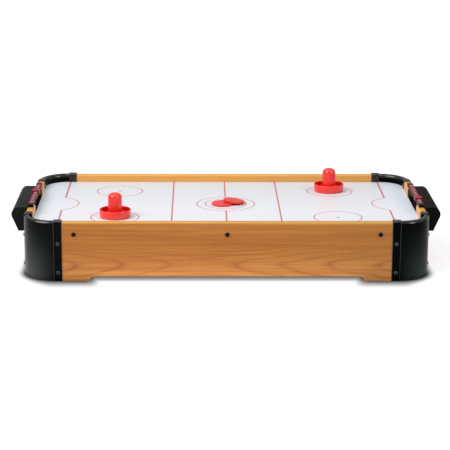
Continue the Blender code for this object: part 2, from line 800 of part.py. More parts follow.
def pusher_profile():
    """Knob, dish and rim as one thin shell that is open underneath."""
    rim_inside = PUSHER_RADIUS - PUSHER_RIM_WIDTH
    rim_shoulder = PUSHER_RIM_HEIGHT - PUSHER_RIM_ROUND
    dish_edge = rim_inside - KNOB_DRAFT - DISH_FILLET
    foot_top = PUSHER_RADIUS - PUSHER_DRAFT
    foot_outside = foot_top - PUSHER_FOOT_CHAMFER
    outside = [
        *dome(KNOB_RADIUS, PUSHER_HEIGHT, KNOB_DOME_HEIGHT, DOME_STEPS),
        (KNOB_RADIUS + KNOB_DRAFT, DISH_FLOOR + DISH_FILLET),
        (KNOB_RADIUS + KNOB_DRAFT + DISH_FILLET, DISH_FLOOR),
        (dish_edge, DISH_FLOOR),
        (dish_edge + DISH_FILLET, DISH_FLOOR + DISH_FILLET),
        (rim_inside, rim_shoulder),
        (PUSHER_RADIUS - PUSHER_RIM_WIDTH / 2, PUSHER_RIM_HEIGHT),
        (PUSHER_RADIUS, rim_shoulder),
        (foot_top, 2 * PUSHER_FOOT_CHAMFER),
        (foot_outside, 0.0),
    ]
    foot_inside = foot_outside - PUSHER_FOOT_WIDTH
    bore = KNOB_RADIUS - PUSHER_WALL
    inside = [
        (foot_inside, 0.0),
        (foot_inside, DISH_FLOOR - PUSHER_WALL),
        (bore, DISH_FLOOR - PUSHER_WALL),
        *reversed(
            dome(bore, PUSHER_HEIGHT - PUSHER_WALL, KNOB_DOME_HEIGHT - PUSHER_WALL, DOME_STEPS)
        ),
    ]
    return outside + inside


def make_pushers():
    for name, (x, y) in PUSHER_PLACES.items():
        turned(name, pusher_profile(), (x, y, PLAY_BASE), RED_PLASTIC)


def puck_profile():
    """A shallow cup that stands on its rim, the closed face up."""
    half = PUCK_THICKNESS / 2
    rim_inside = PUCK_RADIUS - PUCK_RIM_WIDTH
    return [
        (0.0, half),
        (PUCK_RADIUS - PUCK_CHAMFER, half),
        (PUCK_RADIUS, half - PUCK_CHAMFER),
        (PUCK_RADIUS, PUCK_CHAMFER - half),
        (PUCK_RADIUS - PUCK_CHAMFER, -half),
        (rim_inside, -half),
        (rim_inside, PUCK_HOLLOW - half),
        (0.0, PUCK_HOLLOW - half),
    ]


def make_pucks():
    """One puck flat on the field and one that leans on it, its far edge on the field."""
    half = PUCK_THICKNESS / 2
    turned("puck_flat", puck_profile(), (FLAT_PUCK_X, FLAT_PUCK_Y, PLAY_BASE + half), RED_PLASTIC)
    # The leaning puck stands on its far edge and rests where its rim crosses the flat puck's edge.
    rim_inside = PUCK_RADIUS - PUCK_RIM_WIDTH
    crossing = (PUCK_SPACING**2 + PUCK_RADIUS**2 - rim_inside**2) / (2 * PUCK_SPACING)
    lean = math.asin((PUCK_THICKNESS + FIT_GAP) / (PUCK_SPACING + PUCK_RADIUS - crossing))
    middle = PLAY_BASE + FIT_GAP + PUCK_RADIUS * math.sin(lean) + half * math.cos(lean)
    place = (
        FLAT_PUCK_X + PUCK_SPACING * math.cos(PUCK_LEAN_DIRECTION),
        FLAT_PUCK_Y + PUCK_SPACING * math.sin(PUCK_LEAN_DIRECTION),
        middle,
    )
    leaning = turned("puck_leaning", puck_profile(), place, RED_PLASTIC)
    across = Vector((-math.sin(PUCK_LEAN_DIRECTION), math.cos(PUCK_LEAN_DIRECTION), 0.0))
    leaning.rotation_euler = Matrix.Rotation(lean, 3, across).to_euler()


# Fan

def ring(name, inner, outer, low, high, material=None):
    """A tube as a turned shape, its profile a closed rectangle."""
    profile = [(inner, high), (outer, high), (outer, low), (inner, low), (inner, high)]
    return turned(name, profile, FLAT, material)


def make_fan_housing():
    """A round duct under a square flange, with a motor cup held by struts."""
    housing = ring(
        "fan_housing", FAN_RADIUS, FAN_RADIUS + FAN_DUCT_WALL, FAN_BOTTOM, FAN_TOP, GREY_PLASTIC
    )
    flange = plate(
        "fan_flange",
        [
            rounded_rectangle(FAN_FLANGE_HALF, FAN_FLANGE_HALF, FAN_FLANGE_CORNER),
            circle((0, 0), FAN_RADIUS + FAN_DUCT_WALL / 2, CYLINDER_STEPS),
        ],
        FAN_FLANGE_THICKNESS,
        (0, 0, FAN_TOP - FAN_FLANGE_THICKNESS / 2),
        FLAT,
    )
    cup_inner = MOTOR_RADIUS + FIT_GAP
    cup_outer = cup_inner + MOTOR_CUP_WALL
    cup = turned(
        "motor_cup",
        [
            (0.0, MOTOR_CUP_WALL),
            (cup_inner, MOTOR_CUP_WALL),
            (cup_inner, MOTOR_CUP_HEIGHT),
            (cup_outer, MOTOR_CUP_HEIGHT),
            (cup_outer, 0.0),
            (0.0, 0.0),
        ],
        (0, 0, MOTOR_CUP_FLOOR),
    )
    join(housing, meshed(flange), cup)
    reach_in = cup_inner + MOTOR_CUP_WALL / 2
    reach_out = FAN_RADIUS + FAN_DUCT_WALL / 2
    for index in range(FAN_STRUTS):
        strut = box(
            "fan_strut",
            (reach_in, -FAN_STRUT_WIDTH / 2, FAN_STRUT_BOTTOM),
            (reach_out, FAN_STRUT_WIDTH / 2, FAN_STRUT_BOTTOM + FAN_STRUT_HEIGHT),
        )
        angle = 2 * math.pi * index / FAN_STRUTS
        strut.location = Matrix.Rotation(angle, 3, "Z") @ strut.location
        strut.rotation_euler = (0.0, 0.0, angle)
        join(housing, strut)


def make_fan_motor():
    """A can motor with a bore in its top for the fan's shaft."""
    profile = [
        (0.0, MOTOR_HEIGHT - MOTOR_BORE_DEPTH),
        (MOTOR_BORE_RADIUS, MOTOR_HEIGHT - MOTOR_BORE_DEPTH),
        (MOTOR_BORE_RADIUS, MOTOR_HEIGHT),
        (MOTOR_RADIUS - MOTOR_CHAMFER, MOTOR_HEIGHT),
        (MOTOR_RADIUS, MOTOR_HEIGHT - MOTOR_CHAMFER),
        (MOTOR_RADIUS, 0.0),
        (0.0, 0.0),
    ]
    turned("fan_motor", profile, (0, 0, MOTOR_BASE), STEEL)


def make_fan_impeller():
    """Hub, shaft and pitched blades, turning about the fan's axis."""
    hub_base = MOTOR_BASE + MOTOR_HEIGHT + 2 * FIT_GAP
    profile = [
        (0.0, HUB_HEIGHT),
        (HUB_RADIUS - HUB_CHAMFER, HUB_HEIGHT),
        (HUB_RADIUS, HUB_HEIGHT - HUB_CHAMFER),
        (HUB_RADIUS, 0.0),
        (SHAFT_RADIUS, 0.0),
        (SHAFT_RADIUS, -MOTOR_BORE_DEPTH),
        (0.0, -MOTOR_BORE_DEPTH),
    ]
    hub = turned("fan_impeller", profile, (0, 0, hub_base), BLACK_PLASTIC)
    for index in range(BLADES):
        blade = box(
            "fan_blade",
            (BLADE_ROOT_RADIUS, -BLADE_CHORD / 2, -BLADE_THICKNESS / 2),
            (BLADE_TIP_RADIUS, BLADE_CHORD / 2, BLADE_THICKNESS / 2),
        )
        turn = Matrix.Rotation(2 * math.pi * index / BLADES, 4, "Z")
        pitch = Matrix.Rotation(BLADE_PITCH, 4, "X")
        lift = Matrix.Translation((0, 0, hub_base + HUB_HEIGHT / 2))
        blade.matrix_world = lift @ turn @ Matrix.Translation(blade.location) @ pitch
        join(hub, blade)


def grille_slot(inner, outer, start, end):
    """A slot between two radii and two angles, as a closed outline."""
    steps = 4
    return arc((0, 0), outer, start, end, steps) + arc((0, 0), inner, end, start, steps)


def make_fan_grille():
    outlines = [circle((0, 0), FAN_RADIUS + FAN_DUCT_WALL, CYLINDER_STEPS)]
    for ring in range(GRILLE_RINGS):
        inner = GRILLE_FIRST_RADIUS + ring * GRILLE_RING_PITCH
        outer = inner + GRILLE_SLOT_WIDTH
        bar_angle = GRILLE_BAR_WIDTH / inner
        for index in range(GRILLE_SLOTS):
            start = 2 * math.pi * index / GRILLE_SLOTS + bar_angle / 2
            end = start + 2 * math.pi / GRILLE_SLOTS - bar_angle
            outlines.append(grille_slot(inner, outer, start, end))
    place = (0, 0, FAN_BOTTOM - FIT_GAP - GRILLE_THICKNESS / 2)
    plate("fan_grille", outlines, GRILLE_THICKNESS, place, FLAT, GREY_PLASTIC)


# Batteries

def make_battery_box():
    """A box for the cells, open underneath."""
    low = (BATTERY_BOX_X - BATTERY_BOX_HALF_X, -BATTERY_BOX_HALF_Y, BATTERY_BOX_BOTTOM)
    high = (BATTERY_BOX_X + BATTERY_BOX_HALF_X, BATTERY_BOX_HALF_Y, FAN_TOP)
    case = box("battery_box", low, high, GREY_PLASTIC)
    wall = BATTERY_BOX_WALL
    hollow = box(
        "battery_hollow",
        (low[0] + wall, low[1] + wall, low[2] - wall),
        (high[0] - wall, high[1] - wall, high[2] - wall),
    )
    cut(case, hollow)


def make_battery_lid():
    """The lid under the battery box, which slides towards the front, with finger ridges."""
    top = BATTERY_BOX_BOTTOM - FIT_GAP
    lid = box(
        "battery_lid",
        (BATTERY_BOX_X - BATTERY_BOX_HALF_X, -BATTERY_BOX_HALF_Y, top - LID_THICKNESS),
        (BATTERY_BOX_X + BATTERY_BOX_HALF_X, BATTERY_BOX_HALF_Y, top),
        GREY_PLASTIC,
    )
    for index in range(LID_RIDGES):
        y = LID_RIDGE_FIRST_Y + index * LID_RIDGE_PITCH
        ridge = box(
            "lid_ridge",
            (
                BATTERY_BOX_X - LID_RIDGE_LENGTH / 2,
                y - LID_RIDGE_WIDTH / 2,
                top - LID_THICKNESS - LID_RIDGE_HEIGHT,
            ),
            (
                BATTERY_BOX_X + LID_RIDGE_LENGTH / 2,
                y + LID_RIDGE_WIDTH / 2,
                top - LID_THICKNESS / 2,
            ),
        )
        join(lid, ridge)


def make_batteries():
    """Round cells side by side, every other one turned end for end."""
    profile = [
        (0.0, CELL_LENGTH / 2 + CELL_NUB_HEIGHT),
        (CELL_NUB_RADIUS, CELL_LENGTH / 2 + CELL_NUB_HEIGHT),
        (CELL_NUB_RADIUS, CELL_LENGTH / 2),
        (CELL_RADIUS, CELL_LENGTH / 2),
        (CELL_RADIUS, -CELL_LENGTH / 2),
        (0.0, -CELL_LENGTH / 2),
    ]
    mesh = evaluated_mesh(turned("battery_cell", profile, FLAT, None, SMALL_STEPS))
    height = BATTERY_BOX_BOTTOM + FIT_GAP + CELL_RADIUS
    places = []
    for index in range(CELLS):
        x = BATTERY_BOX_X + (index - (CELLS - 1) / 2) * CELL_PITCH
        outward = (0, 1, 0) if index % 2 else (0, -1, 0)
        places.append(("battery_" + str(index + 1), (x, 0.0, height), outward))
    copies(mesh, BATTERY_WRAP, places)


# Switch and leads

def switch_opening():
    """A cutter through the back panel for the switch's body, a fit gap larger all round."""
    half_x = SWITCH_BODY[0] / 2 + FIT_GAP
    half_z = SWITCH_BODY[1] / 2 + FIT_GAP
    reach = PANEL_CUTTER_LENGTH / 2
    return box(
        "switch_opening",
        (SWITCH_X - half_x, HALF_WIDTH - reach, SWITCH_HEIGHT - half_z),
        (SWITCH_X + half_x, HALF_WIDTH + reach, SWITCH_HEIGHT + half_z),
    )


def make_switch_housing():
    """A bezel outside the back panel, a body through it, and a pocket for the rocker."""
    face = HALF_WIDTH + FIT_GAP
    bezel_x, bezel_z = SWITCH_BEZEL
    housing = box(
        "switch_housing",
        (SWITCH_X - bezel_x / 2, face, SWITCH_HEIGHT - bezel_z / 2),
        (SWITCH_X + bezel_x / 2, face + SWITCH_BEZEL_THICKNESS, SWITCH_HEIGHT + bezel_z / 2),
        BLACK_PLASTIC,
        SWITCH_BEZEL_CORNER,
        lambda edge: runs_along(edge, 1),
    )
    body_x, body_z = SWITCH_BODY
    body = box(
        "switch_body",
        (SWITCH_X - body_x / 2, face - SWITCH_BODY_DEPTH, SWITCH_HEIGHT - body_z / 2),
        (SWITCH_X + body_x / 2, face + SWITCH_BEZEL_THICKNESS / 2, SWITCH_HEIGHT + body_z / 2),
    )
    pocket_x, pocket_z = SWITCH_POCKET
    outer_face = face + SWITCH_BEZEL_THICKNESS
    pocket = box(
        "switch_pocket",
        (SWITCH_X - pocket_x / 2, outer_face - SWITCH_POCKET_DEPTH, SWITCH_HEIGHT - pocket_z / 2),
        (SWITCH_X + pocket_x / 2, outer_face + SWITCH_POCKET_DEPTH, SWITCH_HEIGHT + pocket_z / 2),
    )
    join(housing, body)
    cut(housing, pocket)


def make_switch_rocker():
    """A rocker with a shallow V face, tipped to one side about its upright pivot."""
    back_start = math.pi + ROCKER_BACK_START
    back_end = 2 * math.pi - ROCKER_BACK_START
    outline = [
        (ROCKER_HALF_LENGTH, ROCKER_FACE_EDGE),
        (0.0, ROCKER_FACE_MIDDLE),
        (-ROCKER_HALF_LENGTH, ROCKER_FACE_EDGE),
        *arc((0.0, 0.0), ROCKER_BACK_RADIUS, back_start, back_end),
    ]
    place = (SWITCH_X, ROCKER_PIVOT_Y, SWITCH_HEIGHT)
    rocker = plate("switch_rocker", [outline], ROCKER_WIDTH, place, FLAT, RED_PLASTIC)
    rocker.rotation_euler = (0.0, 0.0, -ROCKER_TILT)


def smooth_route(points):
    """Points along a smooth curve through the given ones, with LEAD_STEPS to each span."""
    points = [Vector(point) for point in points]
    ends = [2 * points[0] - points[1], *points, 2 * points[-1] - points[-2]]
    route = []
    for before, start, end, after in zip(ends, ends[1:], ends[2:], ends[3:]):
        for step in range(LEAD_STEPS):
            t = step / LEAD_STEPS
            route.append(
                0.5
                * (
                    2 * start
                    + (end - before) * t
                    + (2 * before - 5 * start + 4 * end - after) * t**2
                    + (3 * start - before - 3 * end + after) * t**3
                )
            )
    return [*route, points[-1]]


def lead(name, points):
    curve = bpy.data.curves.new(name, "CURVE")
    curve.dimensions = "3D"
    curve.bevel_depth = LEAD_RADIUS
    curve.bevel_resolution = 2
    curve.use_fill_caps = True
    route = smooth_route(points)
    spline = curve.splines.new("POLY")
    spline.points.add(len(route) - 1)
    for point, place in zip(spline.points, route):
        point.co = (*place, 1.0)
    add_object(name, curve, material=LEAD_RUBBER)


def make_leads():
    """Two leads held against the air chamber: cells to switch, and switch to motor."""
    run = TRAY_BOTTOM - FIT_GAP - 2 * LEAD_RADIUS
    switch_back = HALF_WIDTH + FIT_GAP - SWITCH_BODY_DEPTH - FIT_GAP
    box_side = BATTERY_BOX_X + BATTERY_BOX_HALF_X + FIT_GAP
    duct_side = FAN_RADIUS + FAN_DUCT_WALL + FIT_GAP
    lead(
        "battery_lead",
        [
            (box_side, 12 * MM, 58 * MM),
            (box_side + 9 * MM, 14 * MM, 61 * MM),
            (box_side + 20 * MM, 40 * MM, run),
            (-10 * MM, 78 * MM, run),
            (90 * MM, 96 * MM, run),
            (168 * MM, 118 * MM, run - 3 * MM),
            (SWITCH_X - 4 * MM, 146 * MM, SWITCH_HEIGHT + 3 * MM),
            (SWITCH_X - 4 * MM, switch_back, SWITCH_HEIGHT),
        ],
    )
    lead(
        "motor_lead",
        [
            (duct_side, 0.0, 52 * MM),
            (duct_side + 12 * MM, 2 * MM, 56 * MM),
            (84 * MM, 26 * MM, run),
            (150 * MM, 74 * MM, run),
            (182 * MM, 108 * MM, run - 5 * MM),
            (SWITCH_X + 4 * MM, 142 * MM, SWITCH_HEIGHT + 3 * MM),
            (SWITCH_X + 4 * MM, switch_back, SWITCH_HEIGHT),
        ],
    )


clear_scene()
PARTS = new_collection("air_hockey_table")
CUTTERS = new_collection("cutters", hidden=True)

WOOD = finish("wood_foil", (0.60, 0.29, 0.10), 0.45)
BATTEN = finish("plain_wood", (0.62, 0.45, 0.27), 0.7)
WHITE_BOARD = finish("white_board", (0.86, 0.86, 0.90), 0.25)
BLACK_PLASTIC = finish("black_plastic", (0.012, 0.014, 0.014), 0.35)
GREY_PLASTIC = finish("grey_plastic", (0.06, 0.06, 0.065), 0.5)
TRAY_PLASTIC = finish("tray_plastic", (0.10, 0.10, 0.11), 0.55)
RED_PLASTIC = finish("red_plastic", (0.80, 0.035, 0.025), 0.22)
MAROON_PLASTIC = finish("maroon_plastic", (0.22, 0.03, 0.05), 0.35)
BLACK_STEEL = finish("black_steel", (0.02, 0.02, 0.02), 0.3, 0.8)
STEEL = finish("steel", (0.55, 0.55, 0.56), 0.3, 1.0)
BATTERY_WRAP = finish("battery_wrap", (0.05, 0.16, 0.10), 0.3)
LEAD_RUBBER = finish("lead_rubber", (0.02, 0.02, 0.02), 0.6)

make_side_panels()
make_end_panels()
make_corners()
make_field()
make_field_rails()
make_air_chamber()
make_side_bolts()
make_corner_screws()
make_goal_boxes()
make_score_frames()
make_score_strips()
make_score_sliders()
make_pushers()
make_pucks()
make_fan_housing()
make_fan_motor()
make_fan_impeller()
make_fan_grille()
make_battery_box()
make_battery_lid()
make_batteries()
make_switch_housing()
make_switch_rocker()
make_leads()
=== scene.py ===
"""Looks of a tabletop air hockey table: foil-covered panels, moulded corners, a printed blown board,
score markers, goal boxes, strikers and pucks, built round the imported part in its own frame.

Metres, +Z up, +X along the table. The origin is the centre of the footprint, on the floor.
"""

import math

import bmesh
import bpy
from mathutils import Matrix, Vector


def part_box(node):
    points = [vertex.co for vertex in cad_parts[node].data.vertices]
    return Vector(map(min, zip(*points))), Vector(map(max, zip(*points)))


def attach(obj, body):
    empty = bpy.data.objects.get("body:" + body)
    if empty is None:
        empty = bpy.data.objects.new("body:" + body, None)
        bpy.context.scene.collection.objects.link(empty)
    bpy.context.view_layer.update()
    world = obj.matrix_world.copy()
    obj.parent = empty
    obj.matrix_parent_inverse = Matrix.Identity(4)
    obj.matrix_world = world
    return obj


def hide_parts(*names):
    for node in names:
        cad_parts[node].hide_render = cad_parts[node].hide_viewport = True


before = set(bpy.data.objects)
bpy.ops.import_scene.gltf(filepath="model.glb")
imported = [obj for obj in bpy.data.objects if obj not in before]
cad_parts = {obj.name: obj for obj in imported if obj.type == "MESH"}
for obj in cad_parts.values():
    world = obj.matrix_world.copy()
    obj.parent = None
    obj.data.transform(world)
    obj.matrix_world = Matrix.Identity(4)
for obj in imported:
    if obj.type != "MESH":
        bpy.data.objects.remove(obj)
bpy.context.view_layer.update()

MM = 0.001
ENDS = ((-1, "left"), (1, "right"))
SIDES = ((-1, "front"), (1, "back"))

# The frame's driving sizes
PANEL_LOW, PANEL_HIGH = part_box("side_panel_front")
END_LOW, END_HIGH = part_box("end_panel_right")
BOARD_LOW, BOARD_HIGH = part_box("playing_field")
HALF_WIDTH = -PANEL_LOW.y
HALF_LENGTH = END_HIGH.x
PANEL_THICKNESS = PANEL_HIGH.y - PANEL_LOW.y
RIM_HEIGHT = PANEL_HIGH.z
FIELD_TOP = BOARD_HIGH.z
FIT_GAP = 0.3 * MM

# Camera
CAMERA_PLACE = (-48.0 * MM, -2863.8 * MM, 795.3 * MM)
CAMERA_PITCH = math.radians(14.59)
CAMERA_YAW = math.radians(-0.940)
CAMERA_ROLL = math.radians(0.2645)
CAMERA_LENS = 132.1
SENSOR_WIDTH = 36.0


# Material recipes

class Value:
    """A number that a material works out at each point, with the usual arithmetic."""

    def __init__(self, recipe, socket):
        self.recipe = recipe
        self.socket = socket

    def __add__(self, other):
        return self.recipe.math("ADD", self, other)

    def __sub__(self, other):
        return self.recipe.math("SUBTRACT", self, other)

    def __rsub__(self, other):
        return self.recipe.math("SUBTRACT", other, self)

    def __mul__(self, other):
        return self.recipe.math("MULTIPLY", self, other)

    def __truediv__(self, other):
        return self.recipe.math("DIVIDE", self, other)

    def __abs__(self):
        return self.recipe.math("ABSOLUTE", self)


class Recipe:
    """One Principled material being put together. An argument is a value, a socket, a number or a colour."""

    def __init__(self, name):
        self.material = bpy.data.materials.new(name)
        self.material.use_nodes = True
        self.tree = self.material.node_tree
        self.shader = self.tree.nodes["Principled BSDF"]

    def feed(self, socket, value):
        if isinstance(value, Value):
            value = value.socket
        if isinstance(value, bpy.types.NodeSocket):
            self.tree.links.new(value, socket)
        elif isinstance(value, tuple) and socket.type == "RGBA":
            socket.default_value = (*value, 1.0)
        else:
            socket.default_value = value

    def node(self, kind, *inputs, **settings):
        made = self.tree.nodes.new(kind)
        for key, value in settings.items():
            setattr(made, key, value)
        for socket, value in zip(made.inputs, inputs):
            self.feed(socket, value)
        return made

    def set(self, **values):
        for key, value in values.items():
            self.feed(self.shader.inputs[key.replace("_", " ")], value)

    def position(self):
        """The X, Y and Z of the surface, in the piece's own metres."""
        split = self.node("ShaderNodeSeparateXYZ", self.node("ShaderNodeTexCoord").outputs["Object"])
        return [Value(self, socket) for socket in split.outputs]

    def math(self, operation, *values):
        return Value(self, self.node("ShaderNodeMath", *values, operation=operation).outputs[0])

    def noise(self, point, scale=1.0, detail=2.0, roughness=0.5):
        texture = self.node("ShaderNodeTexNoise")
        self.feed(texture.inputs["Vector"], point)
        self.feed(texture.inputs["Scale"], scale)
        self.feed(texture.inputs["Detail"], detail)
        self.feed(texture.inputs["Roughness"], roughness)
        return Value(self, texture.outputs[0])

    def spread(self, value, low, high, new_low=0.0, new_high=1.0):
        """Maps low..high to new_low..new_high, held at the ends."""
        mapped = self.node("ShaderNodeMapRange", value, low, high, new_low, new_high)
        return Value(self, mapped.outputs[0])

    def mix(self, factor, a, b, blend="MIX"):
        mixer = self.node("ShaderNodeMix", data_type="RGBA", blend_type=blend)
        self.feed(mixer.inputs[0], factor)
        self.feed(mixer.inputs[6], a)
        self.feed(mixer.inputs[7], b)
        return mixer.outputs[2]

    def tinted(self, base, factor, tint, rest=(1.0, 1.0, 1.0)):
        """The base colour times the tint where the factor is 1, and times rest where it is 0."""
        return self.mix(1.0, base, self.mix(factor, rest, tint), "MULTIPLY")

    def fibres(self, x, y, z, along, across, detail, roughness=0.5):
        """Noise that repeats along times a metre in x and across times in y and z."""
        point = self.node("ShaderNodeCombineXYZ", x * along, y * across, z * across).outputs[0]
        return self.noise(point, 1.0, detail, roughness)

    def bump(self, height, distance, strength=1.0):
        made = self.node("ShaderNodeBump")
        self.feed(made.inputs["Strength"], strength)
        self.feed(made.inputs["Distance"], distance)
        self.feed(made.inputs["Height"], height)
        self.feed(self.shader.inputs["Normal"], made.outputs[0])

    def object_point(self):
        return self.node("ShaderNodeTexCoord").outputs["Object"]


# Wood foil: its colours, painted light and shade by place, and the nested figures of its grain

FOIL_LIGHT = (0.66, 0.258, 0.036)
FOIL_DEEP = (0.52, 0.168, 0.016)
FOIL_LINE = (0.35, 0.066, 0.008)
# Painted shade: the front panel's foil is painted darker than the others'
FOIL_PAINTED_SHADE_BY_SIDE = {"front": 0.89, "back": 1.0, "left": 1.0, "right": 1.0}
# Painted light and shade by height: the foil is painted darker high up and lighter and pinker near the floor
FOIL_PAINTED_SHADE_HIGH = (0.90, 0.86, 0.68)
FOIL_PAINTED_LIGHT_LOW = (1.40, 1.65, 3.0)
# Painted light on the panels' inner faces
FOIL_PAINTED_LIGHT_INSIDE = (1.52, 1.95, 4.2)
# Painted shade: the foil darkens towards +run (the right on the side panels)
FOIL_PAINTED_SHADE_RIGHT = (0.84, 0.87, 0.86)
# Painted highlight along the panels' rounded top edge
FOIL_PAINTED_HIGHLIGHT_EDGE = (1.38, 1.92, 3.4)
FIGURE_HEIGHT = 27 * MM
FIGURE_MIDDLE = {"front": -38 * MM, "back": 85 * MM, "left": 30 * MM, "right": -45 * MM}
FIGURE_REACH = 60 * MM
FIGURE_SPACING = 77 * MM
FIGURE_SWEEP = 230.0
FIGURE_DRIFT = 50 * MM
FIGURE_WAVER = 12 * MM
FIGURE_TIP = 0.0006
FIGURE_FADE = (40 * MM, 75 * MM)


def wood_foil(side, along, outward, outer_face):
    """Printed wood foil. The grain runs along X (0) or Y (1), with nested figures whose tips point away
    from the figure's middle, close straight grain above them, and short dark pores."""
    recipe = Recipe("foil_" + side)
    x, y, z = recipe.position()
    run, across = (x, y) if along == 0 else (y, x)
    depth = across * outward
    up = z + outer_face - depth

    drift = recipe.fibres(run, up, across, 5.0, 22.0, 1.5) - 0.5
    waver = recipe.fibres(run, up, across, 9.0, 60.0, 2.0) - 0.5
    from_middle = run - FIGURE_MIDDLE[side] + drift * FIGURE_DRIFT
    from_middle = recipe.math("SQRT", from_middle * from_middle + FIGURE_TIP)
    rise = up - FIGURE_HEIGHT + waver * FIGURE_WAVER
    rings = (from_middle - rise * rise * FIGURE_SWEEP - FIGURE_REACH) / FIGURE_SPACING
    ridge = abs(recipe.math("FRACT", rings) * 2.0 - 1.0)
    fade = recipe.fibres(run, up, across, 9.1, 52.0, 1.0)
    fade = recipe.spread(fade, 0.35, 0.60, 0.45, 1.0)
    line = recipe.math("POWER", ridge, 4.0) * fade * recipe.spread(up, *FIGURE_FADE, 1.0, 0.12)

    streak = recipe.fibres(run, up, across, 3.0, 150.0, 4.0, 0.65)
    grain = recipe.fibres(run, up, across, 16.0, 1100.0, 2.0, 0.6)
    pores = recipe.fibres(run, up, across, 70.0, 1500.0, 0.0)
    # Each side's colours are scaled by its factor: painted shade on the front panel
    light, deep, dark = (
        tuple(part * FOIL_PAINTED_SHADE_BY_SIDE[side] for part in colour) for colour in (FOIL_LIGHT, FOIL_DEEP, FOIL_LINE)
    )
    base = recipe.mix(recipe.spread(streak, 0.36, 0.64), light, deep)
    base = recipe.mix(recipe.spread(grain, 0.35, 0.75, 0.0, 0.40), base, dark)
    base = recipe.mix(line * 0.75, base, dark)
    base = recipe.mix(recipe.spread(pores, 0.66, 0.74, 0.0, 0.30), base, dark)
    inner_face = outer_face - PANEL_THICKNESS
    inside = recipe.spread(depth, inner_face, inner_face + 2 * MM, 1.0, 0.0)
    # Painted light: the inner face is made paler and less contrasted here, then tinted lighter below
    base = recipe.mix(inside * 0.75, base, light)
    # Painted light: lighter and pinker towards the bottom, painted shade higher up
    base = recipe.tinted(base, recipe.spread(up, 4 * MM, 50 * MM), FOIL_PAINTED_SHADE_HIGH, FOIL_PAINTED_LIGHT_LOW)
    # Painted shade towards +run, away from the key light
    base = recipe.tinted(base, recipe.spread(run, -50 * MM, 250 * MM), FOIL_PAINTED_SHADE_RIGHT)
    base = recipe.tinted(base, inside, FOIL_PAINTED_LIGHT_INSIDE)
    # Painted highlight: the outer foil is paled within a few millimetres of the top edge
    edge = recipe.spread(z, RIM_HEIGHT - 5.0 * MM, RIM_HEIGHT - 1.5 * MM)
    base = recipe.tinted(base, edge * (1.0 - inside), FOIL_PAINTED_HIGHLIGHT_EDGE)
    recipe.set(
        Base_Color=base,
        Roughness=recipe.spread(grain, 0.2, 0.8, 0.28, 0.40),
        Specular_IOR_Level=0.38,
    )
    recipe.bump(grain, 0.03 * MM, 0.6)
    return recipe.material


def plain_wood(name):
    """Bare straight-grained wood, with its grain along X."""
    recipe = Recipe(name)
    x, y, z = recipe.position()
    rings = recipe.fibres(x, y, z, 4.0, 260.0, 3.0, 0.6)
    fibre = recipe.fibres(x, y, z, 40.0, 2200.0, 1.0)
    base = recipe.mix(recipe.spread(rings, 0.3, 0.7), (0.66, 0.49, 0.30), (0.50, 0.34, 0.18))
    recipe.set(Base_Color=base, Roughness=recipe.spread(fibre, 0.2, 0.8, 0.6, 0.8))
    recipe.bump(fibre, 0.05 * MM, 0.7)
    return recipe.material


def plastic(name, colour, worn, roughness, specular, grain, glow_depth=0.0):
    """Moulded plastic: an even grain of a size and depth in millimetres, faint flow marks in its gloss and
    a slightly paler bloom. A glow depth lets some light through it."""
    recipe = Recipe(name)
    point = recipe.object_point()
    flow = recipe.noise(point, 14.0, 3.0, 0.6)
    fine = recipe.noise(point, 1.0 / (grain[0] * MM), 2.0, 0.5)
    gloss = recipe.spread(recipe.noise(point, 45.0, 3.0), 0.25, 0.75, roughness - 0.05, roughness + 0.06)
    recipe.set(
        Base_Color=recipe.mix(recipe.spread(flow, 0.35, 0.75, 0.0, 0.35), colour, worn),
        Roughness=gloss,
        Specular_IOR_Level=specular,
    )
    if glow_depth:
        recipe.set(Subsurface_Weight=0.7, Subsurface_Radius=(1.0, 0.12, 0.10), Subsurface_Scale=glow_depth)
    recipe.bump(fine, grain[1] * MM)
    return recipe.material


# Painted reflection on the corners' curved skirts: the heights over which it fades out, and where along X it
# starts
PAINTED_REFLECTION_HEIGHTS = (12 * MM, 100 * MM)
PAINTED_REFLECTION_REACH = (290 * MM, 332 * MM)


def scuffed_plastic(name, painted_reflection_colour, fresh, specular, roughness=0.26):
    """The corners' black plastic, whose curved skirt is painted greyer towards the floor: a painted
    reflection of the bright floor.
    """
    recipe = Recipe(name)
    x, y, z = recipe.position()
    point = recipe.object_point()
    cloud = recipe.noise(point, 30.0, 3.0, 0.6)
    lower = recipe.spread(z, *PAINTED_REFLECTION_HEIGHTS, 1.0, 0.0)
    outer = recipe.spread(abs(x), *PAINTED_REFLECTION_REACH)
    # Painted reflection: greyer low down on the curved wall
    reflection_mask = recipe.math("POWER", lower, 1.5) * outer * recipe.spread(cloud, 0.2, 0.8, 0.85, 1.15)
    fine = recipe.noise(point, 2200.0, 2.0, 0.5)
    recipe.set(
        Base_Color=recipe.mix(reflection_mask, fresh, painted_reflection_colour),
        Roughness=recipe.spread(cloud, 0.25, 0.75, roughness - 0.04, roughness + 0.04),
        Specular_IOR_Level=specular,
    )
    recipe.bump(fine, 0.010 * MM)
    return recipe.material


def brushed_steel(name, colour, roughness):
    """Metal with fine scratches in its gloss and faint stains."""
    recipe = Recipe(name)
    point = recipe.object_point()
    scratches = recipe.noise(point, 900.0, 3.0, 0.7)
    stain = recipe.noise(point, 120.0, 2.0)
    recipe.set(
        Base_Color=recipe.mix(recipe.spread(stain, 0.3, 0.7), colour, tuple(0.8 * part for part in colour)),
        Roughness=recipe.spread(scratches, 0.3, 0.7, roughness - 0.06, roughness + 0.1),
        Metallic=1.0,
    )
    recipe.bump(scratches, 0.01 * MM, 0.5)
    return recipe.material


# Printed board

BOARD_WHITE = (0.765, 0.772, 0.812)
BOARD_SHADE = (0.745, 0.752, 0.795)
